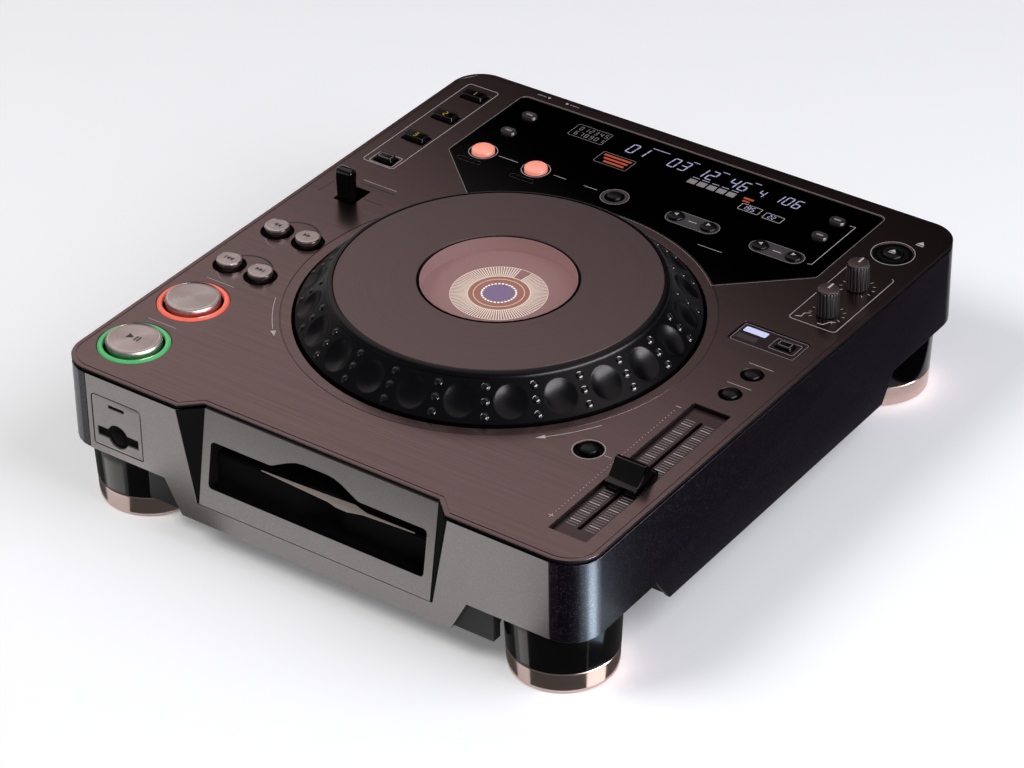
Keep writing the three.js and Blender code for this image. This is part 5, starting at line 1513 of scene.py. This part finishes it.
def studio_floor(lift):
    """Matt white vinyl: it shows white to the camera and in metal and glass, and hands back a
    plainer light to what stands on it."""
    material = bpy.data.materials.new("matt_vinyl")
    tree = empty_tree(material)
    grain = moulded(tree, 30.0)
    level = add(tree, "ShaderNodeMapRange", {"Value": grain.outputs[0], "To Min": 0.98, "To Max": 1.0})
    scaled = {0: linear("#ffffff")[:3], "Scale": level.outputs[0]}
    white = add(tree, "ShaderNodeVectorMath", scaled, operation="SCALE")
    plain = add(tree, "ShaderNodeBsdfDiffuse", {"Color": linear("#bcbcbc")})
    bare = add(tree, "ShaderNodeBsdfDiffuse", {"Color": white.outputs[0]})
    glow = add(tree, "ShaderNodeEmission", {"Color": linear("#ffffff"), "Strength": lift})
    shown = add(tree, "ShaderNodeAddShader", {0: bare.outputs[0], 1: glow.outputs[0]})
    rays = add(tree, "ShaderNodeLightPath").outputs
    either = rays["Is Camera Ray"]
    for name in ("Is Glossy Ray", "Is Transmission Ray"):
        pair = {0: either, 1: rays[name]}
        either = add(tree, "ShaderNodeMath", pair, operation="MAXIMUM").outputs[0]
    mixed = add(tree, "ShaderNodeMixShader", {0: either, 1: plain.outputs[0], 2: shown.outputs[0]})
    add(tree, "ShaderNodeOutputMaterial", {"Surface": mixed.outputs[0]})
    return material


GRADED_CARD, GRADED_HEIGHT = (-0.35, 1.05, 2.4, 2.4), 0.5
# The graded card fades along y plus this share of x, from white at one value to black at another.
GRADED_LEAN, GRADED_WHITE, GRADED_BLACK = 0.29, 0.26, 0.57


def graded_card():
    """A card over the back of the player, bright at the front and dark at the back, as a soft box
    close above gives."""
    material = bpy.data.materials.new("graded_card")
    tree = empty_tree(material)
    place = add(tree, "ShaderNodeTexCoord").outputs["Object"]
    parts = add(tree, "ShaderNodeSeparateXYZ", {0: place}).outputs
    sum_of = {0: parts[0], 1: GRADED_LEAN, 2: parts[1]}
    lean = add(tree, "ShaderNodeMath", sum_of, operation="MULTIPLY_ADD").outputs[0]
    fade = {
        "Value": lean, "From Min": GRADED_WHITE, "From Max": GRADED_BLACK, "To Min": 1.0, "To Max": 0.0,
    }
    level = add(tree, "ShaderNodeMapRange", fade, interpolation_type="SMOOTHSTEP").outputs[0]
    light = add(tree, "ShaderNodeEmission", {"Color": linear("#fff6f2"), "Strength": level})
    add(tree, "ShaderNodeOutputMaterial", {"Surface": light.outputs[0]})
    return material


LAMP_AIM = (0, 0, 0.05)
KEY_PLACE, KEY_SIZE, SIDE_PLACE, SIDE_SIZE = (-0.9, -1.3, 1.9), 1.0, (1.33, 0.1, 1.23), 1.6


def softbox(name, place, size, power, colour):
    """A soft round lamp that is aimed at the player and that reflections don't meet."""
    lamp = bpy.data.lights.new(name, "AREA")
    lamp.shape, lamp.size, lamp.energy, lamp.color = "DISK", size, power, linear(colour)[:3]
    item = bpy.data.objects.new(name, lamp)
    item.location = place
    item.rotation_euler = (Vector(LAMP_AIM) - Vector(place)).to_track_quat("-Z", "Y").to_euler()
    bpy.context.collection.objects.link(item)
    item.visible_glossy = False


# Floor that upright round walls show the camera, card by card: middle and radius of the wall, its
# first and last angle in degrees, its lowest and highest point, all in millimetres, and the light.
LEG_RADIUS = 28.6
LEFT_FOOT = (*spot("leg_front_left")[:2], LEG_RADIUS)
RIGHT_FOOT = (*spot("leg_front_right")[:2], LEG_RADIUS)
CASE_CORNER = (SIDE - CORNER, FRONT + CORNER, CORNER)
MIRROR_CARDS = [
    (LEFT_FOOT, -150, -112, 0, 30, 0.10), (LEFT_FOOT, -78, 40, 0, 30, 0.10),
    (LEFT_FOOT, -108, -82, 9, 27, 2.4), (RIGHT_FOOT, -104, -90, 9, 27, 2.2),
    (RIGHT_FOOT, -150, -110, 0, 30, 0.10), (RIGHT_FOOT, -92, -31, 0, 30, 0.10),
    (RIGHT_FOOT, -30, -7, 0, 8.5, 2.2), (RIGHT_FOOT, -30, -7, 8.5, 30, 0.10),
    (RIGHT_FOOT, -7, 40, 0, 30, 0.10),
    (CASE_CORNER, -40, -6, 21, 84, 3.0), (CASE_CORNER, -27, -13, 27, 84, 22.0),
]
# Stage cards lie this high above the floor, and each mirror card this much above the one before.
FRONT_CARD_HEIGHT, SIDE_CARD_HEIGHT, CORNER_CARD_HEIGHT, MIRROR_HEIGHT = 3e-4, 4e-4, 4.5e-4, 6e-4
MIRROR_STEP = 2e-5
FRONT_CARD, SIDE_CARD = (0.61, -1.60, 1.74, 2.5), (0.67, 0.435, 1.0, 1.09)
# The card before the front right foot keeps clear of what the front panel mirrors.
CORNER_CARD = [
    (0.112, -0.212), (0.067, -0.33), (0.4, -0.42), (0.4, -0.2), (0.185, -0.2), (0.185, -0.212),
]
DIMPLE_CARD, DIMPLE_PLACE, DIMPLE_LIGHT = (0.6, 1.6), (1.3, -0.15, 0.33), 20.0


def mirror_card(number, wall, start, end, low, high, light):
    """The floor that an upright round wall shows the camera. A sight line that meets the wall at
    height h and angle a leaves at the angle 2a less its own, and lands h / tan(rise) further on."""
    x, y, radius = wall
    angle = np.radians(np.linspace(start, end, 25))
    away = 2 * angle - (CAMERA_TURN - TURN / 4)
    foot = (radius + 0.6) * np.column_stack([np.cos(angle), np.sin(angle)])
    way = np.column_stack([np.cos(away), np.sin(away)]) / math.tan(CAMERA_RISE)
    outline = (np.vstack([foot + way * low, foot + way * high]) + (x, y)) * MM + ORIGIN[:2]
    faces = grid(2, len(angle), wrap_columns=False).tolist()
    name = f"mirror_card_{number}"
    material = glowing(name, "#cfe2f5" if wall is CASE_CORNER else "#f4f0ee", light)
    flat_card(name, outline, MIRROR_HEIGHT + number * MIRROR_STEP, material, ("glossy",), faces)


def studio_cards():
    """Cards that only reflections meet: the graded one above, an upright one at the right that the
    dial's dimples catch, and those on the floor that give the gloss its dark and bright sides."""
    only = ("glossy",)
    flat_card("graded_card", square(*GRADED_CARD), GRADED_HEIGHT, graded_card(), only)
    black = glowing("black_card", "#000000", 0.0)
    flat_card("side_card", square(*SIDE_CARD), SIDE_CARD_HEIGHT, black, only)
    flat_card("front_corner_card", CORNER_CARD, CORNER_CARD_HEIGHT, black, only)
    dusk = glowing("dusk_card", "#161115", 1.0)
    flat_card("front_card", square(*FRONT_CARD), FRONT_CARD_HEIGHT, dusk, only)
    bright = glowing("dimple_card", "#f2eef4", DIMPLE_LIGHT)
    upright = flat_card("dimple_card", square(0, 0, *DIMPLE_CARD), 0.0, bright, only)
    upright.data.transform(Matrix.Translation(DIMPLE_PLACE) @ Matrix.Rotation(TURN / 4, 4, "Y"))
    for number, card in enumerate(MIRROR_CARDS):
        mirror_card(number, *card)


def aim_camera():
    """Puts the camera where the photograph's was: turned, raised, rolled and set back."""
    lens = bpy.data.cameras.new("camera")
    lens.lens, lens.sensor_width, lens.clip_end = CAMERA_LENS, SENSOR, 100
    camera = bpy.data.objects.new("camera", lens)
    bpy.context.collection.objects.link(camera)
    turn, rise, roll = CAMERA_TURN, CAMERA_RISE, CAMERA_ROLL
    back = np.array([math.sin(turn) * math.cos(rise), -math.cos(turn) * math.cos(rise), math.sin(rise)])
    right = np.array([math.cos(turn), math.sin(turn), 0])
    up = np.cross(back, right)
    right, up = (
        math.cos(roll) * right + math.sin(roll) * up, -math.sin(roll) * right + math.cos(roll) * up,
    )
    frame_axes = np.array([right, up, back])
    place = -frame_axes.T @ np.array(CAMERA_OFFSET) * MM + ORIGIN
    pose = np.eye(4)
    pose[:3, :3], pose[:3, 3] = frame_axes.T, place
    camera.matrix_world = Matrix(pose.tolist())
    bpy.context.scene.camera = camera


FLOOR_SIZE = 9


def stage():
    """The pale floor, the air, the lamps, the cards and the camera."""
    scene = bpy.context.scene
    light = scene.player_light
    flat_card("floor", square(0, 0, FLOOR_SIZE, FLOOR_SIZE), 0.0, studio_floor(light.floor))
    studio_cards()
    world = bpy.data.worlds.new("studio_air")
    tree = empty_tree(world)
    air = add(tree, "ShaderNodeBackground", {"Color": linear("#f4f2f4"), "Strength": light.air})
    add(tree, "ShaderNodeOutputWorld", {"Surface": air.outputs[0]})
    scene.world = world
    softbox("key_lamp", KEY_PLACE, KEY_SIZE, light.key, "#ffffff")
    softbox("side_lamp", SIDE_PLACE, SIDE_SIZE, light.side, "#f1f3ff")
    aim_camera()
    scene.view_settings.view_transform = "Standard"


# Add-on


def colour(name, description, code):
    """A colour that a user would change."""
    return FloatVectorProperty(
        name=name, description=description, default=linear(code)[:3], subtype="COLOR", min=0, max=1)


def length(name, description, millimetres):
    """A length that a user would change."""
    return FloatProperty(
        name=name, description=description, default=millimetres * MM, unit="LENGTH", precision=5, min=0)


class PlayerColours(bpy.types.PropertyGroup):
    """Colours that a user would change."""
    deck: colour("Deck", "Anodised colour of the brushed deck sheet", "#6c5a5b")
    dial_plate: colour("Dial Plate", "Anodised colour of the dial's turned top", "#665657")
    dial_rim: colour("Dial Rim", "Polycarbonate of the dial's rim and the round black keys", "#050407")
    dial_glass: colour("Dial Glass", "Tint of the glass over the dial's display", "#8e6968")
    case: colour("Case", "Flake enamel of the case", "#0a070c")
    front: colour("Front", "Grey enamel of the front panel and the slot face", "#8c8684")
    key_caps: colour("Key Caps", "Turned metal of the round key caps", "#c4b7b7")
    foot_rings: colour("Foot Rings", "Plated metal of the foot rings", "#c6b0a8")
    start_lamp: colour("Start Lamp", "Light of the ring round the start key", "#52b06c")
    cue_lamp: colour("Cue Lamp", "Light of the ring round the cue key", "#ee6c58")


class PlayerSizes(bpy.types.PropertyGroup):
    """Sizes that a user would change, all finer than the frame's."""
    dimple_width: length("Dimple Width", "Width of a finger dimple in the dial's rim", 17.8)
    dimple_radius: length("Dimple Radius", "Radius of the sphere that a dimple is part of", 18.0)
    stud_width: length("Stud Width", "Width of a small stud between two dimples", 3.6)
    groove_inset: length("Groove Inset", "Distance of the deck's engraved line from its edge", 2.5)
    groove_width: length("Groove Width", "Width of the deck's engraved line", 0.6)
    tick_width: length("Tick Width", "Width of a tick mark in the dial's display", 0.6)


class PlayerLight(bpy.types.PropertyGroup):
    """Strengths of the stage's lights."""
    air: FloatProperty(
        name="Air", description="Strength of the even light all round", default=0.2, min=0)
    key: FloatProperty(
        name="Key", description="Power of the soft lamp at the front left", default=27, min=0,
        unit="POWER")
    side: FloatProperty(
        name="Side", description="Power of the wide soft lamp at the right", default=20, min=0,
        unit="POWER")
    floor: FloatProperty(
        name="Floor", description="Light added to the floor where it is seen", default=0.15, min=0)


class PLAYER_OT_deck(bpy.types.Operator):
    """Builds the brushed deck sheet, the black frame under it and the prints on it."""
    bl_idname = "player.deck"
    bl_label = "Deck"

    def execute(self, context):
        deck()
        deck_prints()
        return {"FINISHED"}


class PLAYER_OT_case(bpy.types.Operator):
    """Builds the case, the tray under it and the black slot housing."""
    bl_idname = "player.case"
    bl_label = "Case"

    def execute(self, context):
        case()
        return {"FINISHED"}


class PLAYER_OT_front(bpy.types.Operator):
    """Builds the grey front panel and the leaning face round the slot."""
    bl_idname = "player.front"
    bl_label = "Front"

    def execute(self, context):
        front()
        return {"FINISHED"}


class PLAYER_OT_card_door(bpy.types.Operator):
    """Builds the door of the card bay."""
    bl_idname = "player.card_door"
    bl_label = "Card Door"

    def execute(self, context):
        card_door()
        return {"FINISHED"}


class PLAYER_OT_feet(bpy.types.Operator):
    """Builds the four legs and their plated rings."""
    bl_idname = "player.feet"
    bl_label = "Feet"

    def execute(self, context):
        feet()
        return {"FINISHED"}


class PLAYER_OT_dial(bpy.types.Operator):
    """Builds the jog dial's rim and top, and the display in its middle."""
    bl_idname = "player.dial"
    bl_label = "Dial"

    def execute(self, context):
        dial()
        dial_display()
        return {"FINISHED"}


class PLAYER_OT_lit_keys(bpy.types.Operator):
    """Builds the start and cue keys with their lit rings."""
    bl_idname = "player.lit_keys"
    bl_label = "Lit Keys"

    def execute(self, context):
        lit_keys()
        return {"FINISHED"}


class PLAYER_OT_search_keys(bpy.types.Operator):
    """Builds the two pairs of small metal keys."""
    bl_idname = "player.search_keys"
    bl_label = "Search Keys"

    def execute(self, context):
        search_keys()
        return {"FINISHED"}


class PLAYER_OT_small_keys(bpy.types.Operator):
    """Builds the round black keys of the deck."""
    bl_idname = "player.small_keys"
    bl_label = "Small Keys"

    def execute(self, context):
        small_keys()
        return {"FINISHED"}


class PLAYER_OT_block_keys(bpy.types.Operator):
    """Builds the oblong and oval keys."""
    bl_idname = "player.block_keys"
    bl_label = "Block Keys"

    def execute(self, context):
        block_keys()
        return {"FINISHED"}


class PLAYER_OT_window(bpy.types.Operator):
    """Builds the display window, its keys and its prints."""
    bl_idname = "player.window"
    bl_label = "Window"

    def execute(self, context):
        window()
        window_prints()
        return {"FINISHED"}


class PLAYER_OT_mode_panel(bpy.types.Operator):
    """Builds the sunk panel of the jog mode."""
    bl_idname = "player.mode_panel"
    bl_label = "Mode Panel"

    def execute(self, context):
        mode_panel()
        return {"FINISHED"}


class PLAYER_OT_knobs(bpy.types.Operator):
    """Builds the two fluted knobs."""
    bl_idname = "player.knobs"
    bl_label = "Knobs"

    def execute(self, context):
        knobs()
        return {"FINISHED"}


class PLAYER_OT_lever(bpy.types.Operator):
    """Builds the blade of the direction lever."""
    bl_idname = "player.lever"
    bl_label = "Lever"

    def execute(self, context):
        lever()
        return {"FINISHED"}


class PLAYER_OT_slider(bpy.types.Operator):
    """Builds the bed and the cap of the tempo slider."""
    bl_idname = "player.slider"
    bl_label = "Slider"

    def execute(self, context):
        slider()
        return {"FINISHED"}


class PLAYER_OT_rear(bpy.types.Operator):
    """Builds the rear panel, its sockets, the power button and the lock switch."""
    bl_idname = "player.rear"
    bl_label = "Rear"

    def execute(self, context):
        rear()
        return {"FINISHED"}


class PLAYER_OT_stage(bpy.types.Operator):
    """Builds the floor, the air, the lamps, the cards and the camera."""
    bl_idname = "player.stage"
    bl_label = "Stage"

    def execute(self, context):
        stage()
        return {"FINISHED"}


class PLAYER_PT_build(bpy.types.Panel):
    """Lists the player's colours, sizes, lights and building steps."""
    bl_idname = "PLAYER_PT_build"
    bl_label = "Disc Player"
    bl_space_type = "VIEW_3D"
    bl_region_type = "UI"
    bl_category = "Disc Player"

    def draw(self, context):
        for name, group in GROUPS:
            box = self.layout.box()
            for setting in group.__annotations__:
                box.prop(getattr(context.scene, name), setting)
        for step in STEPS:
            self.layout.operator(step.bl_idname)


STEPS = [
    PLAYER_OT_deck, PLAYER_OT_case, PLAYER_OT_front, PLAYER_OT_card_door, PLAYER_OT_feet,
    PLAYER_OT_dial, PLAYER_OT_lit_keys, PLAYER_OT_search_keys, PLAYER_OT_small_keys,
    PLAYER_OT_block_keys, PLAYER_OT_window, PLAYER_OT_mode_panel, PLAYER_OT_knobs, PLAYER_OT_lever,
    PLAYER_OT_slider, PLAYER_OT_rear, PLAYER_OT_stage,
]
GROUPS = [
    ("player_colours", PlayerColours), ("player_sizes", PlayerSizes), ("player_light", PlayerLight),
]
CLASSES = [*(group for _, group in GROUPS), *STEPS, PLAYER_PT_build]


def register():
    """Registers the classes, and hangs the settings on the scene."""
    for item in CLASSES:
        bpy.utils.register_class(item)
    for name, group in GROUPS:
        setattr(bpy.types.Scene, name, PointerProperty(type=group))


def unregister():
    """Takes the settings off the scene, and the classes out again."""
    for name, _ in GROUPS:
        delattr(bpy.types.Scene, name)
    for item in reversed(CLASSES):
        bpy.utils.unregister_class(item)


def main():
    """Builds the pieces and the stage in order."""
    register()
    for step in STEPS:
        getattr(bpy.ops.player, step.bl_idname.split(".")[1])()


if __name__ == "__main__":
    main()
